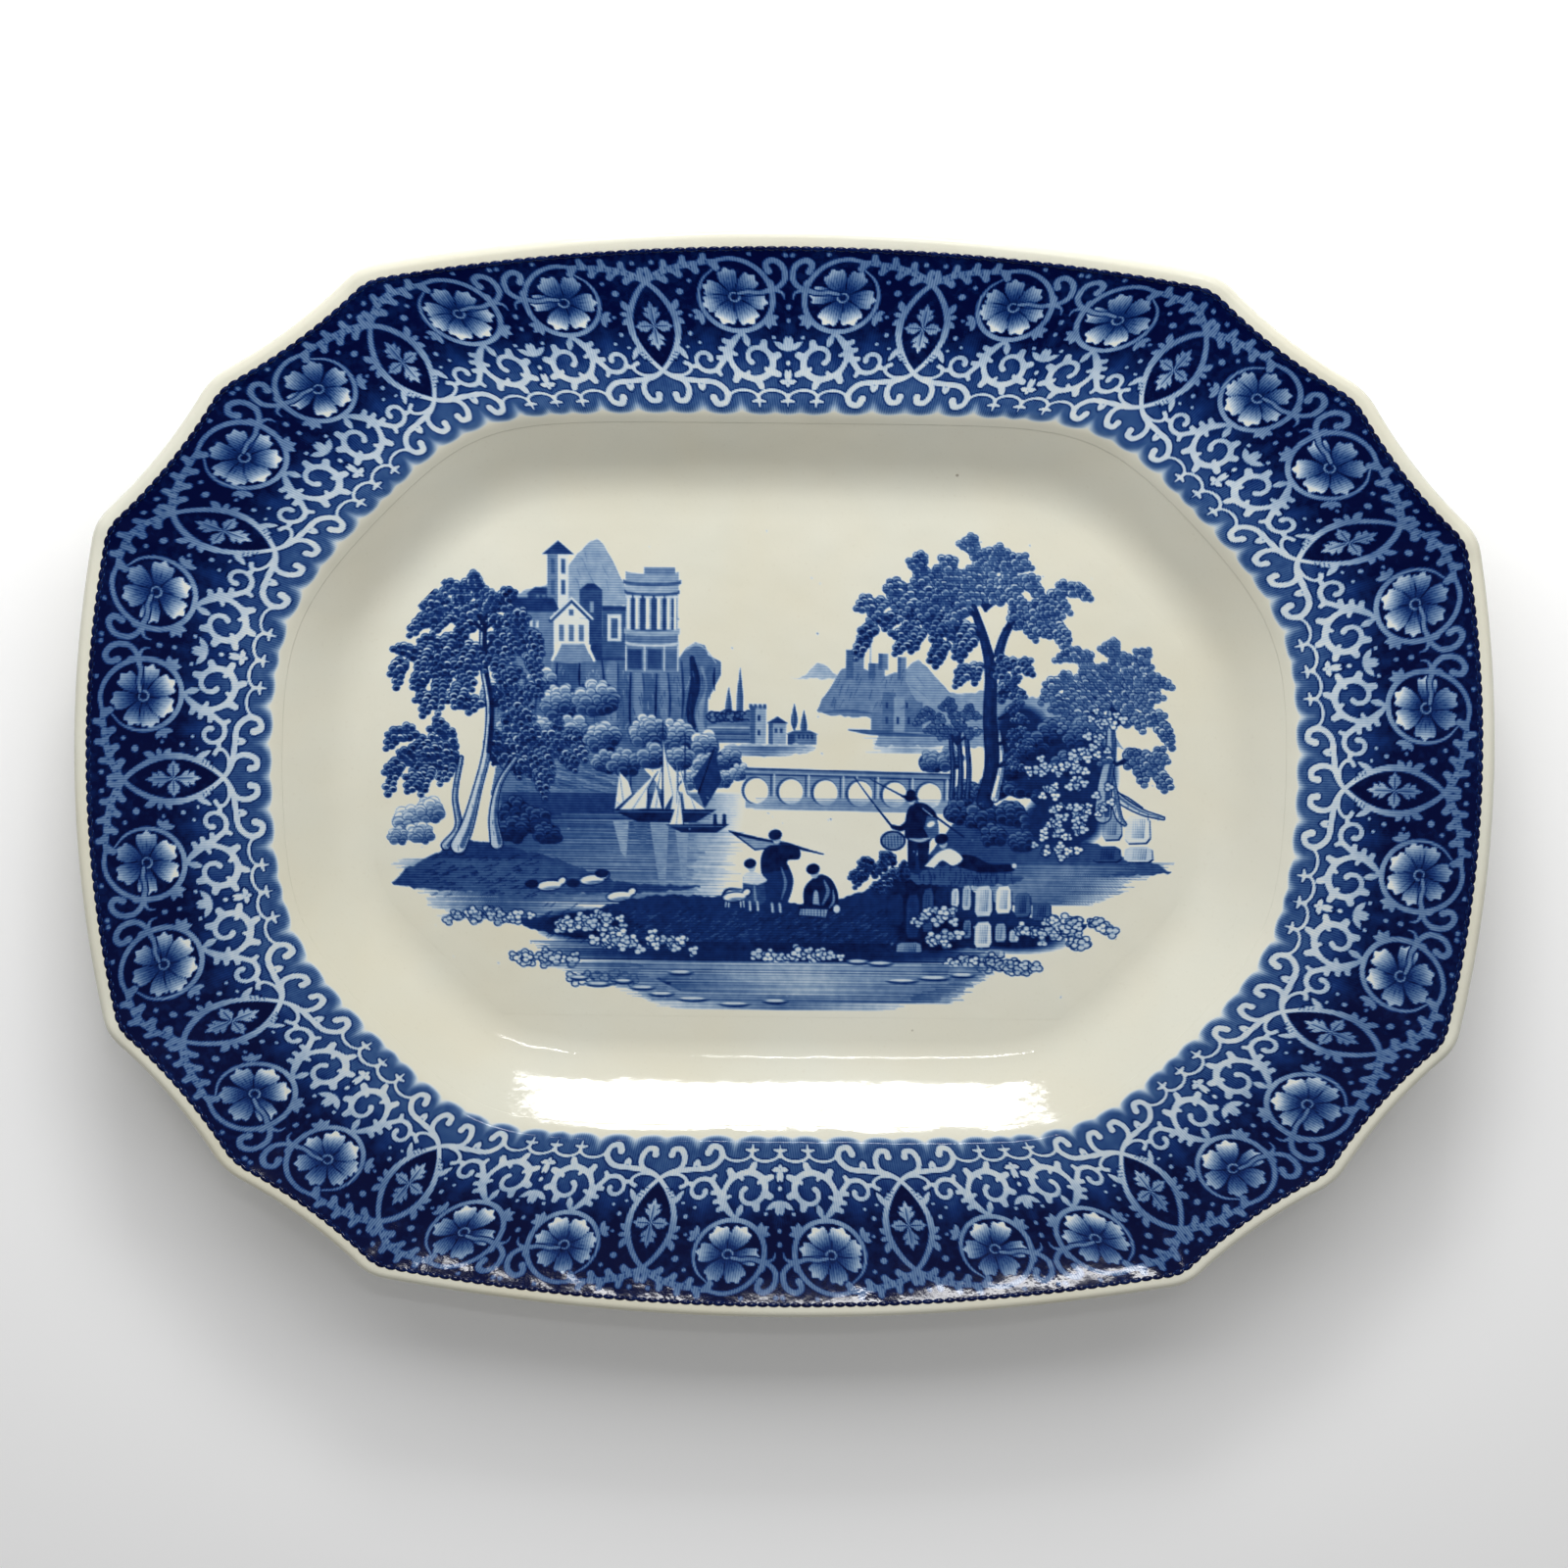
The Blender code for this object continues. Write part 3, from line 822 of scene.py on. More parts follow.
def rock_face(art, rng, faces):
    """Upright facets of rock: each is (x, top, foot, width, ink), and a crack runs down its right side."""
    for x, top, foot, width, ink in faces:
        lean = rng.uniform(-1.0, 1.0)
        middle = (top + foot) / 2
        art.stroke([(x, top, width * 0.7), (x + lean, middle, width), (x, foot, width * 0.6)], ink, soft=0.7)
        edge = x + width / 2
        art.stroke([(edge, top, 0.3), (edge + lean, middle, 0.7), (edge, foot, 0.2)], min(ink + 0.34, 0.95))


def draw_cliff(art, rng):
    """The rock under the villa and the temple, with its overhanging end."""
    outline = [(-94, 4), (-92, 20), (-84, 36), (-60, 36), (-58, 42), (-49, 37), (-44, 34), (-33, 36), (-31, 39)]
    outline += [(-28, 41), (-25, 40), (-24, 37), (-20, 35), (-20, 31), (-24, 23), (-24, 16), (-21, 4)]
    art.patch(outline, 0.55)
    faces = ((-88, 32, 8, 5, 0.48), (-81, 34, 16, 6, 0.44), (-74, 34, 26, 6, 0.5), (-67, 34, 26, 6, 0.62))
    faces += ((-60, 35, 22, 6, 0.5), (-54, 34, 12, 4, 0.46), (-50, 33, 10, 4, 0.58), (-46, 31, 10, 3.5, 0.42))
    faces += ((-42, 31, 8, 4, 0.6), (-38, 32, 12, 3, 0.44), (-34, 35, 14, 3.5, 0.5), (-23.5, 33, 26, 3, 0.6))
    rock_face(art, rng, faces)
    art.stroke([(-29, 36, 1.5), (-28, 28, 3.2), (-29.5, 18, 2.4), (-26, 8, 1.4)], 0.9)
    art.stroke([(-26, 33, 1.0), (-24.5, 27, 0.5), (-26.5, 18, 2.2), (-24.5, 7, 1.2)], 0.38, soft=0.6)
    art.stroke([(-31, 38.5, 0.4), (-28, 40.3, 0.9), (-25, 39, 0.4), (-21.5, 34.6, 0.4)], 0.28)
    art.stroke([(-73, 35, 0.5), (-66, 34.6, 1.2), (-59, 35.5, 0.5)], 0.36)
    art.patch([(-61, 35), (-60, 42), (-57, 42.5), (-52, 38), (-48, 35)], 0.74, smooth=True)
    strokes(art, rng, -90, -22, 10, 32, 130, 0.72, 3.0, 0.3, 0.25)
    strokes(art, rng, -90, -22, 14, 34, 60, 0.3, 2.0, -0.3, 0.25)


def draw_far_bank(art, rng):
    """Slopes and rounded bushes under the cliff and along the far bank."""
    land(art, rng, -92, -30, -8, [(-80, 22, 14), (-64, 18, 12), (-48, 11, 8)], 0.52, rough=0.4)
    strokes(art, rng, -84, -52, -8, 6, 90, 0.68, 1.2, 5.0)
    strokes(art, rng, -84, -52, -8, 6, 60, 0.3, 1.0, 4.0)
    bushes(art, rng, ((-90, 24, 5), (-84, 14, 6), (-76, 28, 5), (-70, 22, 6.5)), 0.6, 0.08)
    bushes(art, rng, ((-59, 23, 7), (-76, 12, 6), (-66, 12, 6), (-57, 11, 5.5)), 0.62, 0.14)
    bushes(art, rng, ((-34, 12, 5.5), (-43, 13, 6), (-25, 9, 4.5)), 0.55, 0.05)
    low = ((-56, 3, 4), (-50, 3, 5), (-41, 5, 5), (-33, 4, 4.5), (-24, 2, 4.5), (-18, 4, 4))
    bushes(art, rng, low, 0.66, 0.2)
    bushes(art, rng, ((-28, -2, 3.5), (-20, -2, 3.5), (-14, 0, 3)), 0.5, 0.05)
    bushes(art, rng, ((46, 4, 4), (52, 5, 4)), 0.6, 0.24)


def draw_water(art, rng):
    """The river, darkest under the far bank and fading to bare glaze on the right."""
    low, right = -43.0, -11.0
    x, y = art.x[None, :], art.y[:, None]
    depth = np.clip((WATER_LEVEL - y) / (WATER_LEVEL - low), 0, 1)
    inside = np.clip((x + 91) / 3, 0, 1) * np.clip((WATER_LEVEL - y) / 0.8, 0, 1) * np.clip((y - low) / 3, 0, 1)
    tone = ramp(depth, (0, 0.7), (0.18, 0.78), (0.3, 0.7), (0.55, 0.56), (1, 0.36))
    fade = np.clip((right - x - 6 * depth) / 26, 0, 1)
    art.ink[:] = np.maximum(art.ink, tone * fade * inside)
    level_lines(art, rng, (-89, -88), (-30, -24), -42, -7, 74, 0.76)
    level_lines(art, rng, (-78, -72), (-34, -17), -41, -13, 40, 0.26, 0.26)
    top = -15.5
    reflections = ((-51, 12, 5, 0.3), (-45, 9, 5, 0.56), (-39, 22, 6, 0.36), (-32, 20, 4.5, 0.34))
    for x, length, width, ink in reflections:
        start, end, foot = x - width / 2, x + width / 2, top - length
        art.patch([(start, top), (end, top), (x + width / 3, foot), (x, foot + 2)], ink)
        level_lines(art, rng, (start, start), (end, end), foot, top, round(length), ink + 0.12, 0.25)
    level_lines(art, rng, (-35, -30), (-17, -14), -39, -18, 22, 0.4, 0.3)


def bend(a, b, share):
    """The middle of the line from a to b, pushed out sideways by a share of its length."""
    return (a[0] + b[0]) / 2 + share * (b[1] - a[1]), (a[1] + b[1]) / 2 - share * (b[0] - a[0])


def sail(art, foot, head, clew, ink, belly=0.12):
    """A three-cornered sail whose outer edge bellies out, with an outline and a seam."""
    shape = [foot, head, bend(head, clew, belly), clew]
    art.patch([(px + 0.3, py - 0.2) for px, py in shape], 0.85)
    art.patch(shape, ink)
    art.line([(*head, 0.2), (*bend(foot, clew, 0), 0.35)], ink + 0.32)


def hull(art, x, y, width, height):
    """A low dark hull with a light strake."""
    shape = [(x, y), (x + width, y + 0.4), (x + width * 0.8, y - height), (x + width * 0.25, y - height)]
    art.patch(shape, 0.93)
    art.line([(x + 1, y - 0.6, 0.25), (x + width - 2, y - 0.5, 0.25)], 0.35)


def draw_boats(art):
    """Two sailing boats and a skiff."""
    for x, top in ((-48, 2), (-38, 16), (-31, 12)):
        art.line([(x, top, 0.3), (x, -12, 0.6)], 0.9)
    sail(art, (-53, -12), (-51.5, 0), (-47.5, -7), 0.04, -0.12)
    sail(art, (-52, -12.5), (-39.5, 0.5), (-43, -11.5), 0.04)
    sail(art, (-42, -11.5), (-38.4, 2), (-38.2, -11.5), 0.06)
    sail(art, (-37.5, -12), (-38, 10), (-32, -2), 0.04)
    sail(art, (-35.5, -12.5), (-33.5, 2), (-31.5, -12), 0.08, 0.06)
    sail(art, (-31, -12.5), (-32.5, 1), (-24, -12), 0.04, 0.16)
    sail(art, (-28.5, -2), (-22, 7.5), (-25, -11), 0.82, -0.2)
    hull(art, -54, -12, 33, 3.8)
    sail(art, (-36, -17), (-32.5, -7), (-31.5, -17), 0.04, 0)
    hull(art, -37, -16.6, 20, 2.4)
    for x in (-21.5, -18.6):
        art.line([(x, -16.4, 1.3), (x, -14.4, 1.0)], 0.9)
        art.spot(x, -13.6, 0.6, 0.6, 0, 0.85)


def draw_bridge(art, rng, left, right, top, arches):
    """A long level bridge of round arches over pale mist."""
    fall = -0.02
    tilt = [(left, 0), (right, fall * (right - left))]
    bands = ((0, 12.5, 0.4), (8.8, 12.5, 0.28), (0, 1.9, 0.5))
    for high, low, ink in bands:
        upper, lower = ([(x, top + dy - drop) for x, dy in tilt] for drop in (high, low))
        art.patch(upper + lower[::-1], ink)
    for drop, ink in ((0, 0.85), (1.1, 0.3), (1.8, 0.8)):
        art.line([(x, top + dy - drop, 0.45) for x, dy in tilt], ink)
    pitch = (right - left) / arches
    for k in range(arches):
        x = left + pitch * (k + 0.3)
        y = top - 6.9 + fall * (x - left)
        art.spot(x - 0.3, y + 0.1, pitch * 0.39, pitch * 0.4, 0, 0.7)
        art.spot(x + 0.15, y - 0.1, pitch * 0.35, pitch * 0.37, 0, 0.0)
        pier = x + pitch / 2
        art.line([(pier - 0.7, y + 5, 0.5), (pier - 0.7, y - 1.5, 0.4)], 0.75)
        art.line([(pier + 0.3, y + 5, 0.6), (pier + 0.3, y - 1.5, 0.5)], 0.14)
    level_lines(art, rng, (left + 4, left + 6), (right - 8, right), top - 13, top - 9.2, 9, 0.5, 0.25)


def trunk(art, rng, points, widths, pale):
    """A trunk or limb with a dark outline, a lit face and bark strokes."""
    path = tapered(points, widths)
    art.stroke(tapered(points, [w + 0.8 for w in widths]), 0.95)
    art.stroke(path, pale)
    art.stroke([(px + 0.26 * w, py, 0.36 * w) for px, py, w in path], min(pale + 0.45, 0.9))
    for px, py, w in flow(path, 5)[::2]:
        x = px + rng.uniform(-0.3, 0.3) * w
        end = (x + rng.uniform(-0.2, 0.2), py - rng.uniform(1, 2.4), 0.2)
        art.line([(x, py, 0.15), end], 0.7)


def draw_left_trees(art, rng):
    """A group of three trees leaning over the water."""
    dark = (0.86, 0.36, 0.34)
    bushes(art, rng, ((-118, -16, 4.5), (-111, -13, 4.5), (-114, -20, 4), (-121, -21, 3)), 0.42, 0.05)
    bushes(art, rng, ((-84, -13, 5), (-78, -16, 5), (-85, -19, 4.5), (-74, -20, 4)), 0.92, 0.62)
    low = ((-124, 11, 3), (-125, -1, 4), (-118, -7, 4), (-109, 16, 1), (-113, 5, 2))
    crown(art, rng, (-101, 2), low, dark)
    right = ((-64, 11, 4), (-65, 3, 4), (-73, -3, 3), (-82, 20, 1), (-77, 12, 2), (-81, 1, 1), (-90, 12, 0))
    crown(art, rng, (-91, 2), right, dark)
    crown(art, rng, (-92, 20), ((-76, 24, 3), (-80, 17, 2), (-103, 20, 2), (-86, 30, 1)), dark)
    trunk(art, rng, [(-106, -24), (-102, -18), (-103, -8), (-101, 4)], (2.4, 1.2, 0.8), 0.2)
    tall = [(-102, -24), (-99, -17), (-96, -6), (-93, 6), (-92, 20), (-94, 34), (-94, 46)]
    trunk(art, rng, tall, (4.6, 2.2, 1.8, 1.3), 0.12)
    trunk(art, rng, [(-90, -23), (-91, -14), (-89, -4), (-84, 4)], (3.6, 1.5, 0.9), 0.16)
    shaded = [(x + 0.6, y) for x, y in tall[3:]]
    art.stroke(tapered(shaded, (1.4, 1.4)), 0.94)
    sides = ((-116, 26, 5), (-113, 17, 6), (-103, 20, 3), (-76, 33, 4), (-84, 27, 2))
    sides += ((-123, 30, 6), (-76, 41, 4))
    crown(art, rng, (-94, 38), sides, dark)
    crown(art, rng, (-94, 44), ((-116, 45, 4), (-112, 53, 3), (-84, 56, 2), (-80, 48, 2)), dark)
    crown(art, rng, (-94, 46), ((-97, 62, 0), (-106, 59, 2), (-90, 55, 1)), (0.78, 0.28, 0.4))


def draw_right_trees(art, rng):
    """The tall tree over the anglers and the gnarled tree at the water's end."""
    misty = (0.66, 0.46, 0.1)
    for x in (52.5, 55, 57.5):
        trunk(art, rng, [(x, -7), (x + 0.3, 2), (x - 0.6, 12)], (1.0, 0.6), 0.6)
    crown(art, rng, (54, 10), ((44, 14, 2), (43, 20, 2), (51, 24, 1), (58, 22, 1), (61, 14, 1)), misty, 0.9)

    for x, y, rx, ry in ((80, 6, 13, 11), (92, 0, 12, 14), (88, -14, 12, 9), (74, 14, 8, 8)):
        art.spot(x, y, rx, ry, 0, 0.86, soft=2.5)
    bushes(art, rng, ((84, 14, 5), (92, 12, 5), (77, 9, 5), (88, 4, 5), (72, 2, 4)), 0.86, 0.5)
    for x, y in ((112, -10), (119, -13), (107, -15)):
        trunk(art, rng, [(101, 2), (103, -5), ((x + 103) / 2, y + 2.5), (x, y)], (3, 2.4, 1.6, 0.6), 0.16)
    trunk(art, rng, [(100, -12), (100.5, -2), (102, 8), (102, 22), (107, 36)], (5, 3.6, 1.8, 0.8), 0.28)
    far = (0.64, 0.34, 0.25)
    crown(art, rng, (103, 20), ((89, 40, 2), (102, 43, 0), (113, 40, 1), (93, 31, 2), (81, 29, 3)), far, 1.2)
    crown(art, rng, (103, 16), ((83, 21, 3), (116, 32, 2), (118, 25, 3), (121, 13, 4), (92, 17, 1)), far, 1.2)
    crown(art, rng, (104, 4), ((121, -3, 3), (112, 7, 1), (120, 5, 2), (94, 8, 1)), far, 1.2)

    stem = [(63, -8), (65, 3), (64, 18), (64, 32), (62, 42), (57, 56)]
    trunk(art, rng, stem, (4.8, 3.8, 3.4, 2.4, 1.2), 0.86)
    trunk(art, rng, [(65, 32), (68, 44), (74, 54)], (2.6, 1.8, 1.0), 0.8)
    trunk(art, rng, [(66, -7), (68, 4), (67, 14)], (2.4, 1.6, 0.6), 0.03)
    leafy, deep = (0.7, 0.26, 0.4), (0.86, 0.4, 0.34)
    crown(art, rng, (63, 34), ((53, 28, 3), (77, 32, 3), (72, 24, 2)), deep)
    crown(art, rng, (61, 44), ((45, 36, 4), (34, 38, 7), (23, 43, 8), (54, 38, 2)), deep)
    crown(art, rng, (68, 46), ((88, 43, 5), (82, 44, 3), (92, 59, 3), (84, 52, 2)), leafy)
    crown(art, rng, (59, 50), ((22, 52, 4), (31, 58, 3), (38, 67, 1), (47, 60, 1)), leafy)
    top = ((57, 75, 0), (66, 72, 0), (74, 69, 1), (78, 62, 1), (48, 68, 1))
    crown(art, rng, (62, 52), top, (0.64, 0.24, 0.4))
    for y, reach in ((26, 8), (18, 9), (10, 10), (3, 8)):
        crown(art, rng, (67, y), ((67 + reach, y - 1, 1), (65 + reach, y + 5, 0)), (0.82, 0.4, 0.4), 0.9)
    bright = (((76, 4), (94, 2), 20), ((82, -5), (95, -3), 20), ((84, -11), (98, -10), 20))
    bright += (((98, 12), (102, 20), 12), ((82, -18), (96, -15), 20), ((80, -24), (90, -23), 12))
    bright += (((90, 6), (99, 10), 14),)
    for start, end, count in bright:
        leaves(art, rng, start, end, 2.4, count)


def stone(art, x, y, width, height, ink):
    """A worn, rounded block of stone: outlined, grained, and darker down its right side."""
    ends = ((0, 0.15), (0.15, 0), (0.85, 0.02), (1, 0.2), (0.96, 0.84), (0.78, 1), (0.2, 0.97), (0.02, 0.8))
    shape = [(x + width * across, y + height * up) for across, up in ends]
    art.patch([(px + 0.3, py - 0.4) for px, py in shape], 0.95)
    art.patch(shape, ink)
    grains = max(2, round(width / 1.4))
    for k in range(grains):
        px = x + width * (0.35 + 0.5 * k / grains)
        shade = min(ink + 0.12 + 0.3 * k / grains, 0.85)
        art.stroke([(px, y + height * 0.84, 0.2), (px - 0.3, y + height * 0.2, 0.5)], shade)


def draw_right_bank(art, rng):
    """The far side of the wall: water's edge, bushes and rocks under the trees."""
    land(art, rng, 40, 122, -30, [(60, 20, 12), (80, 15, 14), (100, 6, 9), (114, 3, 6)], 0.7, below=2)
    level_lines(art, rng, (56, 66), (98, 121), -41, -27, 44, 0.66, 0.5)
    level_lines(art, rng, (60, 68), (84, 112), -40, -28, 26, 0.4, 0.4)
    bushes(art, rng, ((58, -6, 5), (66, -4, 5), (74, -3, 5), (81, -6, 4)), 0.74, 0.46)
    low = ((54, -12, 4), (62, -13, 5), (71, -12, 5), (79, -15, 5), (66, -19, 4), (75, -21, 4))
    bushes(art, rng, low, 0.78, 0.5)
    rocks = ((100, -20, 6, 9, 0.3), (107, -21, 8, 9, 0.08), (97, -27, 9, 5, 0.7), (107, -27, 9, 5, 0.14))
    for x, y, width, height, ink in rocks:
        stone(art, x, y, width, height, ink)


def draw_near_bank(art, rng):
    """The near bank with its shrubs and broken stone wall."""
    land(art, rng, -123, -26, -36, [(-98, 13, 20), (-72, 6, 16)], 0.76, below=3)
    level_lines(art, rng, (-106, -122), (-62, -66), -47, -28, 46, 0.62, 0.6)
    humps = [(-40, 7, 22), (-8, 6, 22), (30, 9, 18), (46, 17, 12), (64, 6, 12)]
    land(art, rng, -84, 96, -47, humps, 0.84, below=10)
    strokes(art, rng, -112, -76, -40, -26, 110, 0.95, 0.8, -2.0)
    strokes(art, rng, -76, 44, -57, -42, 420, 0.95, 1.2, -1.6)
    strokes(art, rng, -76, 44, -57, -44, 260, 0.62, 1.0, -1.6)
    level_lines(art, rng, (-70, -78), (60, 70), -60, -54, 26, 0.92, 0.6)
    for x, y, rx, ry in ((42, -42, 9, 10), (48, -50, 12, 7), (-62, -49, 14, 5), (74, -52, 14, 4)):
        art.spot(x, y, rx, ry, 0, 0.96, soft=2.5)
    land(art, rng, 38, 76, -32.5, [(50, 3.5, 8), (62, 2.5, 9)], 0.66, below=3, rough=0.5)
    strokes(art, rng, 42, 72, -34, -29, 60, 0.85, 2.0)
    crags = ((33, -48, 5, 10, 0.86), (39, -52, 4, 14, 0.8), (44, -50, 3.5, 14, 0.7), (48, -47, 4, 12, 0.88))
    rows = ((53, -42, 2.5, 6, 0.1), (56.5, -43, 2.8, 8, 0.2), (60.5, -45, 5.5, 10, 0.12), (67, -44, 5, 9, 0.06))
    rows += ((73, -45, 5, 8, 0.6), (78.5, -46, 6, 6, 0.66), (60.5, -55, 5.5, 8.5, 0.1), (67, -53, 3.5, 6, 0.3))
    rows += ((57, -52, 2.5, 6, 0.5), (71.5, -53, 3, 4, 0.16), (64, -58, 6, 2.4, 0.2), (36, -57, 8, 3.5, 0.4))
    for x, y, width, height, ink in crags + rows:
        stone(art, x, y, width, height, ink)
    shoots = ((21, -33, 3), (24, -28, 2), (31, -25, 1), (38, -28, 0), (28, -36, 1))
    crown(art, rng, (38, -36), shoots, (0.9, 0.5, 0.4), 1.0)
    level_lines(art, rng, (-62, -70), (62, 66), -62, -56.5, 14, 0.88, 0.7)
    shrubs = (
        ((43, -47), (55, -43), 16, 2.2), ((46, -53), (56, -51), 12, 1.8), ((73, -50), (92, -50), 26, 1.8),
        ((-70, -49), (-52, -48), 26, 2.2), ((-58, -53), (-46, -54), 22, 2.4), ((-40, -54), (-31, -55), 20, 2.6),
        ((-104, -46), (-82, -46), 24, 1.8), ((-9, -59), (8, -58), 18, 1.3), ((4, -57), (18, -58), 14, 1.2),
        ((54, -60), (63, -59), 10, 1.2), ((64, -59), (79, -62), 24, 1.8), ((84, -46), (103, -48), 22, 1.9),
        ((-85, -60), (-66, -60), 22, 1.8), ((-66, -66), (-46, -66), 18, 0.9), ((90, -53), (96, -54), 8, 1.2),
    )
    for start, end, count, spread in shrubs:
        leaves(art, rng, start, end, spread, count, 0.1, 0.88)


def draw_pool(art, rng):
    """Still water along the foot of the bank, with reflections and stones at its edge."""
    level_lines(art, rng, (-40, -76), (54, 66), -73, -61, 50, 0.6, 0.8)
    level_lines(art, rng, (-20, -46), (50, 68), -73, -61, 38, 0.74, 0.6)
    for x, width, drop in ((-26, 8, 5), (0, 7, 6), (9, 4, 5), (17, 6, 8), (24, 5, 5), (44, 9, 5)):
        top = -60.5
        art.patch([(x, top), (x + width, top), (x + width - 1, top - drop), (x + 0.5, top - drop)], 0.78)
    art.patch([(-40, -66), (-26, -63), (-10, -67), (4, -69), (-10, -70.5), (-32, -70)], 0.84, smooth=True)
    level_lines(art, rng, (-30, -50), (40, 64), -72, -60, 34, 0.12, 0.35)
    level_lines(art, rng, (-36, -46), (34, 48), -75.5, -71, 12, 0.5, 0.5)
    stones = (
        (-64, -66, 3), (-58, -68, 4), (-50, -67, 3), (-44, -69, 4), (-38, -71, 4),
        (-28, -72.5, 5), (-15, -74, 5), (-2, -73, 4), (24, -60, 3.5), (31, -60.5, 4),
        (57, -64, 4), (48, -65, 5), (-32, -64, 4), (38, -66, 5),
    )
    for x, y, width in stones:
        art.spot(x, y, width, 1.0, 0, 0.84)
        art.spot(x - 0.2, y + 0.3, width - 0.5, 0.55, 0, 0.12)


def shapes(art, parts):
    """Smooth filled shapes, each given as its outline and its ink."""
    for outline, ink in parts:
        art.patch(outline, ink, smooth=True)


def head(art, x, y, size, hat=False):
    """A plain round head with dark hair, or a brimmed hat. It has no features."""
    art.spot(x + 0.25 * size, y - 0.5 * size, 0.62 * size, 0.8 * size, 0, 0.22)
    art.spot(x, y + 0.15 * size, size, 0.8 * size, 0.2, 0.95)
    if hat:
        art.spot(x, y + 0.1 * size, 1.5 * size, 0.4 * size, -0.15, 0.97)
        art.spot(x + 0.1 * size, y + 0.8 * size, 0.85 * size, 0.8 * size, 0, 0.97)


def grazer(art, x, y, size, lying=True):
    """A pale sheep or goat in profile, outlined, with a darker face."""
    for leg in () if lying else (-0.7, -0.45, 0.5, 0.75):
        for width, ink in ((1.2, 0.9), (0.55, 0.06)):
            art.stroke([(x + leg * size, y, width), (x + leg * 1.1 * size, y - 0.9 * size, width * 0.7)], ink)
    for grow, ink in ((0.45, 0.95), (0, 0.05)):
        art.spot(x, y, size + grow, 0.38 * size + grow, 0.1, ink)
        art.spot(x + 1.05 * size, y + 0.4 * size, 0.34 * size + grow, 0.26 * size + grow, 0.6, ink)
    art.spot(x + 0.2 * size, y - 0.2 * size, 0.7 * size, 0.12 * size, 0.1, 0.5)


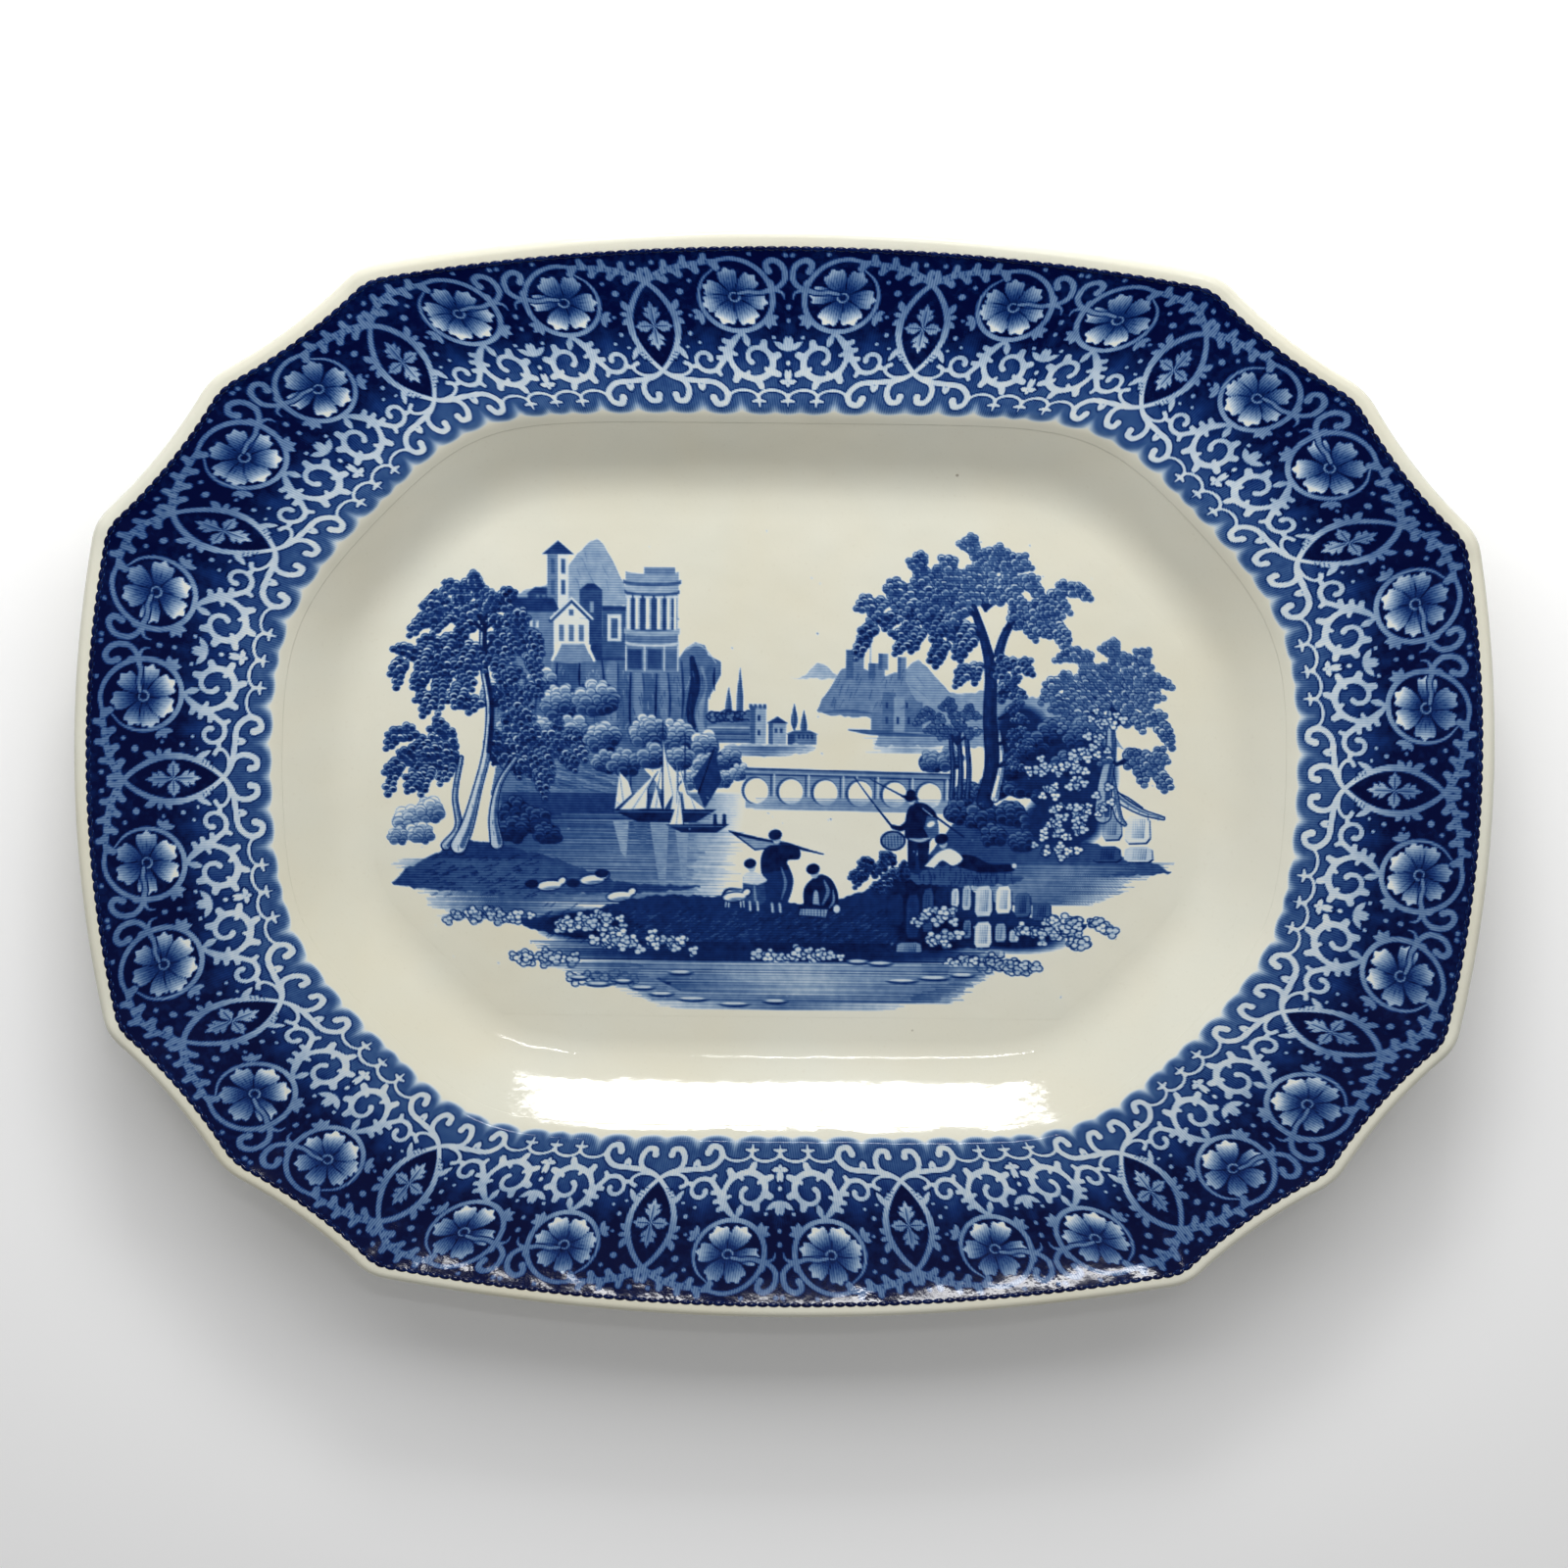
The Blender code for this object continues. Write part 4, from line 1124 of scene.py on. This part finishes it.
def draw_figures(art):
    """Country people at rest and at work, with their animals: all of them nobody in particular."""
    art.patch([(-17, -18.5), (-9, -24.5), (1, -23.5), (12.5, -25.5), (1, -21.8), (-8, -20.5)], 0.9)
    art.patch([(-14.5, -19.8), (-9, -24), (1, -23.2), (10, -25), (1, -22.5), (-8, -21.3)], 0.36)
    art.stroke([(-17, -18.5, 0.4), (-3, -21.8, 0.6), (12.5, -25.5, 0.4)], 0.92)
    skirt = [(-6.5, -31), (-6, -37), (-4.5, -42), (0.5, -42), (2.6, -38), (3.2, -33.5), (1.6, -29)]
    bodice = [(-6.8, -32), (-7, -27), (-5, -23.3), (0, -22.6), (4.8, -23.8), (5, -27)]
    bodice += [(1.4, -27.6), (1.6, -30.5)]
    shapes(art, ((skirt, 0.84), (bodice, 0.95)))
    art.stroke([(-0.5, -30, 0.4), (0.8, -35, 1.0), (-0.4, -40, 0.4)], 0.5)
    for x in (-3.4, -1.0):
        art.stroke([(x, -41.5, 0.8), (x + 0.3, -44, 0.9)], 0.24)
    head(art, -2.6, -19.8, 2.1)

    shapes(art, (([(-12.6, -33), (-12.2, -40), (-8, -42), (-5.4, -40), (-6.2, -33)], 0.74),))
    shapes(art, (([(-12.8, -35), (-12, -32), (-8.5, -31.5), (-5, -34), (-8, -35.6)], 0.12),))
    art.line([(-9, -35.5, 0.5), (-8.6, -40.5, 0.9)], 0.45)
    for x in (-10.4, -8.0):
        art.stroke([(x, -41, 0.7), (x + 0.2, -43.6, 0.8)], 0.2)
    head(art, -10.4, -29.0, 1.9)
    art.stroke([(-19.5, -40, 0.6), (-17.5, -37.2, 0.8), (-13, -37, 0.5)], 0.9)
    grazer(art, -15.2, -39.4, 3.6, lying=False)

    back = [(6.6, -42), (6.6, -37), (8.6, -34), (12, -32), (15.4, -33.8), (17.4, -38.5), (17, -43), (12.6, -44)]
    shapes(art, ((back, 0.94), ([(9.4, -41.5), (9.8, -37.5), (11, -37.5), (11.6, -41.8)], 0.3)))
    art.stroke([(13, -34, 0.5), (14.2, -37.5, 1.3), (12.6, -41.5, 0.6)], 0.5)
    art.stroke([(15.8, -37, 0.3), (16, -40.5, 0.8), (14.4, -43, 0.3)], 0.4)
    art.spot(17, -43, 1.1, 1.3, 0, 0.1)
    head(art, 9.4, -30.6, 2.1)
    art.patch([(4.6, -45.4), (5.2, -42.2), (14.6, -42.6), (14, -46.2)], 0.92)
    art.patch([(5.2, -45), (5.6, -43), (14.2, -43.2), (13.6, -45.7)], 0.3)
    for k in range(8):
        art.line([(6 + k, -43.2, 0.2), (6 + k, -45.4, 0.25)], 0.7)

    art.stroke([(34.4, -17, 0.7), (28, -9, 0.45), (22, -1, 0.3)], 0.9)
    art.stroke([(27, -1.5, 0.3), (42, -9.5, 0.6), (56.5, -19.5, 0.6)], 0.86)
    coat = [(38, -20), (38.4, -13), (40, -9.6), (44, -9), (47.6, -12), (48, -16), (46, -21), (42, -21.5)]
    legs = [(39, -20), (39.2, -30), (41.4, -30), (42, -24), (43, -30), (45.2, -30), (46, -20)]
    shapes(art, ((coat, 0.95), ([(45, -13), (48, -14), (48.6, -19), (46, -20), (44, -17)], 0.6)))
    art.patch(legs, 0.93)
    art.stroke([(40, -14.5, 2.2), (37, -17, 1.8), (34.2, -16.5, 1.2)], 0.95)
    art.stroke([(39.6, -20.4, 0.5), (43, -20.8, 1.2), (46, -20, 0.5)], 0.25)
    art.spot(46.2, -15.6, 1.4, 0.9, 0.5, 0.05)
    art.line([(43.5, -10.6, 0.3), (46.6, -13, 0.4)], 0.2)
    head(art, 39.6, -7.4, 1.7, hat=True)
    art.spot(34.4, -21, 4.0, 3.2, 0, 0.93)
    art.spot(34.4, -21, 3.4, 2.6, 0, 0.42)
    for k in range(6):
        art.line([(31.8 + k, -19.4, 0.25), (32 + k, -22.8, 0.25)], 0.82)

    trousers = [(54, -28.8), (56, -25.4), (60, -25.6), (65, -28), (71.5, -28.2), (72, -30.4), (62, -31)]
    shirt = [(44.4, -29), (48.6, -24.6), (52.6, -23.4), (56.4, -26.4), (53.4, -28.8)]
    shirt += [(50, -27.2), (47.4, -29.6)]
    shapes(art, ((trousers, 0.95), ([(x, y - 0.4) for x, y in shirt], 0.92), (shirt, 0.05)))
    art.spot(72.6, -28.6, 0.8, 0.8, 0, 0.1)
    head(art, 49.6, -20.6, 2.1)
    for place in ((-73.5, -36.4), (-60, -34.4), (-51.5, -39.6)):
        grazer(art, *place, 3.8)
    for x, y in ((-79, -36), (-66, -35.6), (-57, -32.4)):
        art.spot(x, y, 2.2, 1.4, 0, 0.96)


def draw_specks(art, rng):
    """Small pits and specks in the glaze."""
    spans = ((-120, 118), (-74, 76), (0.15, 0.4), (0.12, 0.3), (0, 3), (0.12, 0.5))
    for _ in range(90):
        art.spot(*[rng.uniform(*span) for span in spans], 0.4)


def draw_scene():
    """The whole landscape, from the far distance forward."""
    art = Drawing(SCENE_LEFT - 1, SCENE_RIGHT + 1, -SCENE_HIGH - 1, SCENE_HIGH + 1, 0.2)
    rng = np.random.default_rng(7)
    draw_distance(art, rng)
    draw_cliff(art, rng)
    draw_villa(art, rng)
    draw_temple(art, -41.5, 32, 8.4)
    draw_town(art, rng)
    draw_far_bank(art, rng)
    draw_water(art, rng)
    draw_bridge(art, rng, -12, 53, 1.5, 6)
    draw_boats(art)
    draw_right_bank(art, rng)
    draw_right_trees(art, rng)
    draw_near_bank(art, rng)
    draw_pool(art, rng)
    draw_left_trees(art, rng)
    draw_figures(art)
    draw_specks(art, rng)
    return art


# ------------------------------------------------------------
# Meshes
# ------------------------------------------------------------
def make_object(name, points, faces, **attributes):
    """A smooth mesh object from arrays, with a float attribute on its points for each array given."""
    mesh = bpy.data.meshes.new(name)
    mesh.from_pydata(points, [], faces)
    for key, values in attributes.items():
        layer = mesh.attributes.new(key, "FLOAT", "POINT")
        layer.data.foreach_set("value", np.asarray(values, np.float32).ravel())
    mesh.shade_smooth()
    mesh.set_sharp_from_angle(angle=math.radians(60))
    obj = bpy.data.objects.new(name, mesh)
    bpy.context.scene.collection.objects.link(obj)
    return obj


def grid_faces(rows, columns, start=0, wrap=False):
    """Quads of a grid of points stored row by row. wrap joins the last column to the first."""
    i = np.arange(rows - 1)[:, None] * columns
    j = np.arange(columns if wrap else columns - 1)[None, :]
    k = (j + 1) % columns
    return (start + np.stack([i + j, i + k, i + columns + k, i + columns + j], axis=-1)).reshape(-1, 4)


def sheet(name, top, bottom, coarse, **attributes):
    """A thin closed sheet: a fine grid of points on top and, under it, a grid coarse times wider apart
    that shares the fine grid's edge."""
    rows, columns = top.shape[:2]
    top_faces = grid_faces(rows, columns)
    index = np.full((rows, columns), -1)
    edge = np.ones((rows, columns), bool)
    edge[1:-1, 1:-1] = False
    i_stops = list(range(0, rows - 1, coarse)) + [rows - 1]
    j_stops = list(range(0, columns - 1, coarse)) + [columns - 1]
    keep = edge.copy()
    keep[np.ix_(i_stops, j_stops)] = True
    index[keep] = rows * columns + np.arange(keep.sum())
    faces = [tuple(face) for face in top_faces[:, ::-1].tolist()]
    for i0, i1 in zip(i_stops, i_stops[1:]):
        for j0, j1 in zip(j_stops, j_stops[1:]):
            ring = [(i0, j) for j in range(j0, j1)] + [(i, j1) for i in range(i0, i1)]
            ring += [(i1, j) for j in range(j1, j0, -1)] + [(i, j0) for i in range(i1, i0, -1)]
            faces.append(tuple(int(index[p]) for p in ring if index[p] >= 0))
    around = [(0, j) for j in range(columns - 1)] + [(i, columns - 1) for i in range(rows - 1)]
    around += [(rows - 1, j) for j in range(columns - 1, 0, -1)] + [(i, 0) for i in range(rows - 1, 0, -1)]
    for here, there in zip(around, around[1:] + around[:1]):
        a, b = here[0] * columns + here[1], there[0] * columns + there[1]
        faces.append((a, b, int(index[there]), int(index[here])))
    points = np.concatenate([top.reshape(-1, 3), bottom[keep]])
    full = {key: np.concatenate([values.ravel(), values[keep]]) for key, values in attributes.items()}
    return make_object(name, points.tolist(), faces, **full)


BORDER_START, BORDER_END = -0.13, 0.962
LIP_BAND_SWING = 0.022
BEAD_LINE = 0.967
BEAD_RADIUS = 0.00085
BEAD_SIDES = 10
BEAD_INK = 0.97
BEADS = BEADS_PER_UNIT * UNITS
UP = np.array([0.0, 0.0, 1.0])
SHEET_LIFT, SHEET_SINK = 0.00006, -0.0002
BACK_COARSENESS = 8
HATCH_PITCH = 0.8  # millimetres between the engraved lines


def rim_end(s, end):
    """Where the print or the beads end at share s of the way round. The plain lip is widest at the top."""
    return end - LIP_BAND_SWING * np.clip(np.cos(2 * math.pi * s), 0, 1) ** 4


def border_strips(columns, rows):
    """The printed border, as fourteen strips of tissue, one to a repeat."""
    halves = [border_half(0), border_half(1)]
    strips = []
    for unit in range(UNITS):
        s = (unit + np.linspace(0, 1, columns + 1)) / UNITS
        s, share = np.meshgrid(s, np.linspace(0, 1, rows + 1))
        t = BORDER_START + (rim_end(s, BORDER_END) - BORDER_START) * share
        along = np.linspace(0, 1, columns + 1)[None, :] - 0.5 + 0 * t
        depth = BORDER_DEPTH * (BORDER_END - BORDER_START) * (1 - share)
        x = abs(along) * unit_width(depth)
        ink = np.where(along < 0, halves[0].read(x, depth), halves[1].read(x, depth))
        inks = {"ink": ink, "hatch": along * unit_width(depth) / HATCH_PITCH}
        top, bottom = (surface(s, t, lift) for lift in (SHEET_LIFT, SHEET_SINK))
        strips.append(sheet(f"border_print_{unit + 1:02d}", top, bottom, BACK_COARSENESS, **inks))
    return strips


def scene_tiles(columns, rows):
    """The printed landscape, as four sheets of tissue on the well's floor."""
    art = draw_scene()
    middle = (SCENE_LEFT + SCENE_RIGHT) / 2
    spans = ((SCENE_LEFT, middle), (middle, SCENE_RIGHT))
    quarters = [(left, right, half) for half in (1, -1) for left, right in spans]
    tiles = []
    for number, (left, right, half) in enumerate(quarters):
        x, share = np.meshgrid(np.linspace(left, right, columns + 1), np.linspace(0, 1, rows + 1))
        high = np.minimum(SCENE_HIGH, SCENE_CORNER - abs(x))
        y = high * (share if half > 0 else share - 1)
        lifts = (SHEET_LIFT, SHEET_SINK)
        top, bottom = (np.dstack([x * MM, y * MM, np.full(x.shape, FLOOR_Z + lift)]) for lift in lifts)
        inks = {"ink": art.read(x, y), "hatch": y / HATCH_PITCH}
        tiles.append(sheet(f"scene_print_{number + 1}", top, bottom, BACK_COARSENESS, **inks))
    return tiles


def bead_edge(beads, steps):
    """The row of small moulded beads that stands along the rim, just inside the plain lip."""
    columns = beads * steps
    s = np.arange(columns) / columns
    centre = surface(s, rim_end(s, BEAD_LINE), -0.3 * BEAD_RADIUS)
    phase = (np.arange(columns) % steps) / steps * 2 - 1
    swell = BEAD_RADIUS * np.sqrt(1 - 0.8 * phase**2)
    out = np.column_stack([CREST_OUT(s), np.zeros(columns)])
    rings = []
    for turn in np.linspace(0, 2 * math.pi, BEAD_SIDES, endpoint=False):
        rings.append(centre - out * (swell * math.cos(turn))[:, None] + (swell * math.sin(turn))[:, None] * UP)
    points = np.concatenate(rings)
    index = np.arange(len(points)).reshape(BEAD_SIDES, columns)
    beside, over = np.roll(index, -1, axis=1), np.roll(index, -1, axis=0)
    faces = np.stack([index, over, np.roll(over, -1, axis=1), beside], axis=-1).reshape(-1, 4)
    solid, none = np.full(len(points), BEAD_INK), np.zeros(len(points))
    return make_object("bead_edge", points.tolist(), faces.tolist(), ink=solid, hatch=none)


def body_mesh(columns):
    """The well, wall, rim, lip and underside in one closed skin."""
    s = np.arange(columns) / columns
    crest, crest_out = CREST(s), CREST_OUT(s)
    rings = []
    floor = surface(s, np.full(columns, -1.0))
    for share in (0.02, 0.2, 0.4, 0.6, 0.8, 0.93):
        rings.append(floor * (share, share, 1))
    stops = ((-1, -0.25, 15), (-0.2, 0.15, 15), (0.2, 1, 17))
    top_stops = np.concatenate([np.linspace(*stop) for stop in stops])
    rings += [surface(s, np.full(columns, t)) for t in top_stops]
    lip_top = rings[-1][:, 2]
    for turn in np.linspace(0, math.pi, 15)[1:-1]:
        out = LIP_INSET * math.sin(turn) ** 0.8
        drop = RIM_THICKNESS / 2 * (1 - math.copysign(abs(math.cos(turn)) ** 0.8, math.cos(turn)))
        rings.append(np.column_stack([crest + crest_out * out, lip_top - drop]))
    for t in np.linspace(1, 0, 14):
        rings.append(surface(s, np.full(columns, t), -RIM_THICKNESS))
    scale = (VERGE_Z - RIM_THICKNESS - BASE_Z) / (VERGE_Z - FLOOR_Z)
    for t in np.linspace(-0.06, -1, 16):
        ring = surface(s, np.full(columns, t))
        ring[:, 2] = BASE_Z + (ring[:, 2] - FLOOR_Z) * scale
        rings.append(ring)
    rings[-1][:, 2] = BASE_Z
    rings.append(rings[-1] * (0.02, 0.02, 1))
    points = np.concatenate(rings)
    faces = grid_faces(len(rings), columns, wrap=True).tolist()
    faces.append(list(range(columns - 1, -1, -1)))
    faces.append(list(range(len(points) - columns, len(points))))
    return make_object("glazed_body", points.tolist(), faces)


# ------------------------------------------------------------
# Materials
# ------------------------------------------------------------
def srgb(r, g, b):
    """A linear colour from the 0 to 255 values of a screen colour."""
    channels = [v / 255 for v in (r, g, b)]
    return tuple(v / 12.92 if v <= 0.04045 else ((v + 0.055) / 1.055) ** 2.4 for v in channels) + (1.0,)


class Nodes:
    """A short way to write a node tree. A socket given as an input is linked, and a value is set."""

    def __init__(self, tree):
        self.tree = tree

    def add(self, kind, inputs=None, **settings):
        node = self.tree.nodes.new(kind)
        for key, value in settings.items():
            setattr(node, key, value)
        for key, value in (inputs or {}).items():
            if isinstance(value, bpy.types.NodeSocket):
                self.tree.links.new(value, node.inputs[key])
            else:
                node.inputs[key].default_value = value
        return node

    def math(self, operation, a, b=0.0, c=0.0, clamp=False):
        node = self.add("ShaderNodeMath", {0: a, 1: b, 2: c}, operation=operation, use_clamp=clamp)
        return node.outputs[0]

    def times(self, a, b):
        return self.math("MULTIPLY", a, b)

    def sway(self, vector, scale, detail, amount):
        """Noise that swings evenly about zero."""
        return self.times(self.math("SUBTRACT", self.noise(vector, scale, detail), 0.5), amount)

    def link(self, value, shader, name):
        self.tree.links.new(value, shader.inputs[name])

    def spread(self, value, low, high, to_low=0.0, to_high=1.0):
        """Value moved from one range to another, and held at its ends."""
        inputs = {"Value": value, "From Min": low, "From Max": high, "To Min": to_low, "To Max": to_high}
        return self.add("ShaderNodeMapRange", inputs).outputs["Result"]

    def noise(self, vector, scale, detail=2.0, roughness=0.5):
        inputs = {"Vector": vector, "Scale": scale, "Detail": detail, "Roughness": roughness}
        return self.add("ShaderNodeTexNoise", inputs).outputs["Fac"]

    def mix(self, share, a, b):
        node = self.add("ShaderNodeMix", {0: share, 6: a, 7: b}, data_type="RGBA")
        return node.outputs[2]

    def colours(self, share, stops):
        node = self.add("ShaderNodeValToRGB", {0: share})
        elements = node.color_ramp.elements
        for at, colour in stops[len(elements) :]:
            elements.new(at)
        for element, (at, colour) in zip(elements, stops):
            element.position, element.color = at, colour
        return node.outputs["Color"]


CREAM = srgb(205, 203, 189)
CREAM_WARM = srgb(198, 194, 175)
CREAM_COOL = srgb(197, 199, 188)
INK_STOPS = [
    (0.0, srgb(204, 210, 208)),
    (0.14, srgb(166, 180, 193)),
    (0.3, srgb(118, 141, 167)),
    (0.45, srgb(82, 108, 144)),
    (0.6, srgb(45, 75, 120)),
    (0.78, srgb(13, 40, 94)),
    (1.0, srgb(1, 6, 46)),
]


def cream_colour(n, place):
    """Cream clay under clear glaze: uneven in tone, with a few specks and pinholes."""
    cloud = n.spread(n.noise(place, 9.0, 4.0), 0.35, 0.65)
    patch = n.spread(n.noise(place, 38.0, 3.0), 0.3, 0.7)
    colour = n.mix(cloud, CREAM_WARM, CREAM)
    colour = n.mix(n.times(patch, 0.35), colour, CREAM_COOL)
    grain = n.spread(n.noise(place, 900.0, 2.0), 0.62, 0.8, 0.0, 0.16)
    colour = n.mix(grain, colour, srgb(176, 166, 146))
    speck = n.add("ShaderNodeTexVoronoi", {"Vector": place, "Scale": 95.0, "Randomness": 1.0})
    rare = n.spread(n.add("ShaderNodeSeparateColor", {0: speck.outputs["Color"]}).outputs[0], 0.93, 0.94)
    near = n.spread(speck.outputs["Distance"], 0.035, 0.06, 1.0, 0.0)
    return n.mix(n.times(n.times(rare, near), 0.6), colour, srgb(112, 100, 84))


def new_material(name):
    """A new material, with a node writer for it, its shader and the place on the object."""
    material = bpy.data.materials.new(name)
    material.use_nodes = True
    n = Nodes(material.node_tree)
    place = n.add("ShaderNodeTexCoord").outputs["Object"]
    return material, n, material.node_tree.nodes["Principled BSDF"], place


def glaze(name, printed=False, rippled=0.35):
    """Clear glaze over cream clay, with the print between them where there is any."""
    material, n, shader, place = new_material(name)
    colour = cream_colour(n, place)
    if printed:
        ink = n.add("ShaderNodeAttribute", attribute_name="ink").outputs["Fac"]
        hatch = n.add("ShaderNodeAttribute", attribute_name="hatch").outputs["Fac"]
        line = n.math("SINE", n.times(hatch, 2 * math.pi))
        half_tone = n.times(n.times(ink, n.math("SUBTRACT", 1.0, ink)), 0.26)
        blotch = n.sway(place, 420.0, 3.0, 0.22)
        cloud = n.sway(place, 45.0, 3.0, 0.16)
        uneven = n.times(n.math("ADD", blotch, cloud), n.spread(ink, 0.02, 0.2))
        amount = n.math("ADD", n.math("ADD", ink, n.times(line, half_tone)), uneven, clamp=True)
        inked = n.colours(amount, INK_STOPS)
        colour = n.mix(n.spread(amount, 0.0, 0.12), colour, inked)
    n.link(colour, shader, "Base Color")
    shader.inputs["IOR"].default_value = 1.5
    n.link(n.spread(n.noise(place, 60.0, 3.0), 0.3, 0.75, 0.045, 0.11), shader, "Roughness")
    swell, peel = n.noise(place, 75.0, 1.0), n.noise(place, 420.0, 2.0)
    height = n.math("ADD", n.times(swell, rippled), n.times(peel, 0.05))
    bump = n.add("ShaderNodeBump", {"Strength": 1.0, "Distance": 0.0006, "Height": height})
    n.link(bump.outputs["Normal"], shader, "Normal")
    return material


def foot_clay():
    """Glazed clay with the glaze worn off and soiled where the ring stands."""
    material, n, shader, place = new_material("foot_clay")
    height = n.add("ShaderNodeSeparateXYZ", {0: place}).outputs[2]
    patchy = n.sway(place, 220.0, 4.0, 0.0012)
    worn = n.spread(n.math("ADD", height, patchy), 0.0002, 0.0007, 1.0, 0.0)
    bare = n.mix(n.noise(place, 300.0, 4.0), srgb(168, 148, 118), srgb(204, 190, 164))
    n.link(n.mix(worn, cream_colour(n, place), bare), shader, "Base Color")
    n.link(n.spread(worn, 0.0, 1.0, 0.1, 0.7), shader, "Roughness")
    bump = n.add("ShaderNodeBump", {"Strength": 0.6, "Distance": 0.0003, "Height": n.noise(place, 500.0, 4.0)})
    n.link(bump.outputs["Normal"], shader, "Normal")
    return material


def dress(obj, material, body="root"):
    """Gives a new piece its material and the body that it moves with."""
    obj.data.materials.append(material)
    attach(obj, body)
    return obj


# ------------------------------------------------------------
# Studio
# ------------------------------------------------------------
CAMERA_DISTANCE = 1.0
CAMERA_LEAN = math.radians(9)
CAMERA_ROLL = math.radians(0.6)
SENSOR_WIDTH = 36
FRAME_WIDTH = 0.4806
FILL_POWER = 2.9
FLOOR_REACH = 3


def make_camera():
    """Looks down on the platter, from a little towards the top of the printed scene."""
    data = bpy.data.cameras.new("camera")
    data.sensor_width = SENSOR_WIDTH
    data.lens = SENSOR_WIDTH * CAMERA_DISTANCE / FRAME_WIDTH
    camera = bpy.data.objects.new("camera", data)
    bpy.context.scene.collection.objects.link(camera)
    aim = Vector((0, 0, 0.03))
    camera.location = aim + CAMERA_DISTANCE * Vector((0, math.sin(CAMERA_LEAN), math.cos(CAMERA_LEAN)))
    camera.rotation_mode = "QUATERNION"
    lean = Euler((-CAMERA_LEAN, 0, 0)).to_quaternion()
    camera.rotation_quaternion = lean @ Euler((0, 0, CAMERA_ROLL)).to_quaternion()
    bpy.context.scene.camera = camera


def area_light(name, size, power):
    """A soft rectangular light, not yet put in its place."""
    data = bpy.data.lights.new(name, "AREA")
    data.shape = "RECTANGLE"
    data.size, data.size_y = size
    data.energy = power
    light = bpy.data.objects.new(name, data)
    bpy.context.scene.collection.objects.link(light)
    return light


def panel(name, place, aim, size, power):
    """A light that faces aim and shows in reflections."""
    light = area_light(name, size, power)
    light.location = place
    light.rotation_euler = (Vector(aim) - Vector(place)).to_track_quat("-Z", "Y").to_euler()


def make_fill():
    """A broad light low over the top edge, unseen in reflections, that makes the well brighter at the top."""
    light = area_light("fill", (0.8, 0.3), FILL_POWER)
    light.location = (0, 0.34, 0.42)
    light.rotation_euler = (math.radians(-36), 0, 0)
    light.visible_glossy = False


def make_world():
    """Even light all round for matt surfaces. In the glaze's reflections the room is dim, as a real one is."""
    world = bpy.data.worlds.new("studio")
    bpy.context.scene.world = world
    world.use_nodes = True
    n = Nodes(world.node_tree)
    world.node_tree.nodes.clear()
    away = n.add("ShaderNodeSeparateXYZ", {0: n.add("ShaderNodeTexCoord").outputs["Generated"]})
    bright = n.spread(away.outputs[1], -1.0, 1.0, 0.3, 0.46)
    dim = n.spread(away.outputs[1], -0.6, 0.9, 0.012, 0.18)
    glossy = n.add("ShaderNodeLightPath").outputs["Is Glossy Ray"]
    soft = n.add("ShaderNodeBackground", {"Color": (1, 1, 1, 1), "Strength": bright})
    room = n.add("ShaderNodeBackground", {"Color": (0.9, 0.95, 1.0, 1), "Strength": dim})
    both = n.add("ShaderNodeMixShader", {0: glossy, 1: soft.outputs[0], 2: room.outputs[0]})
    n.add("ShaderNodeOutputWorld", {"Surface": both.outputs[0]})


def make_floor():
    """A plain pale floor, just under the foot ring."""
    corners = [(FLOOR_REACH * x, FLOOR_REACH * y, -0.0002) for x, y in ((-1, -1), (1, -1), (1, 1), (-1, 1))]
    floor = make_object("studio_floor", corners, [(0, 1, 2, 3)])
    material, _, shader, _ = new_material("studio_floor")
    shader.inputs["Base Color"].default_value = (0.9, 0.9, 0.9, 1)
    shader.inputs["Roughness"].default_value = 0.9
    floor.data.materials.append(material)


make_world()
make_floor()
make_camera()
panel("window", place=(0, 1.1, 0.62), aim=(0, -0.1, 0.02), size=(0.46, 0.2), power=6)
panel("lamp", place=(0.12, 0.6, 1.65), aim=(0, -0.15, 0.03), size=(0.36, 0.05), power=1.2)
make_fill()
bpy.context.scene.view_settings.view_transform = "Standard"

body = body_mesh(columns=700)
dress(body, glaze("cream_glaze"))
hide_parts("dish_body")
blue = glaze("blue_print", printed=True, rippled=0.6)
tissues = border_strips(columns=184, rows=150) + scene_tiles(columns=360, rows=224)
tissues.append(bead_edge(BEADS, steps=8))
for tissue in tissues:
    dress(tissue, blue)

foot = bpy.data.objects["foot_ring"]
foot.data.materials.clear()
foot.data.materials.append(foot_clay())
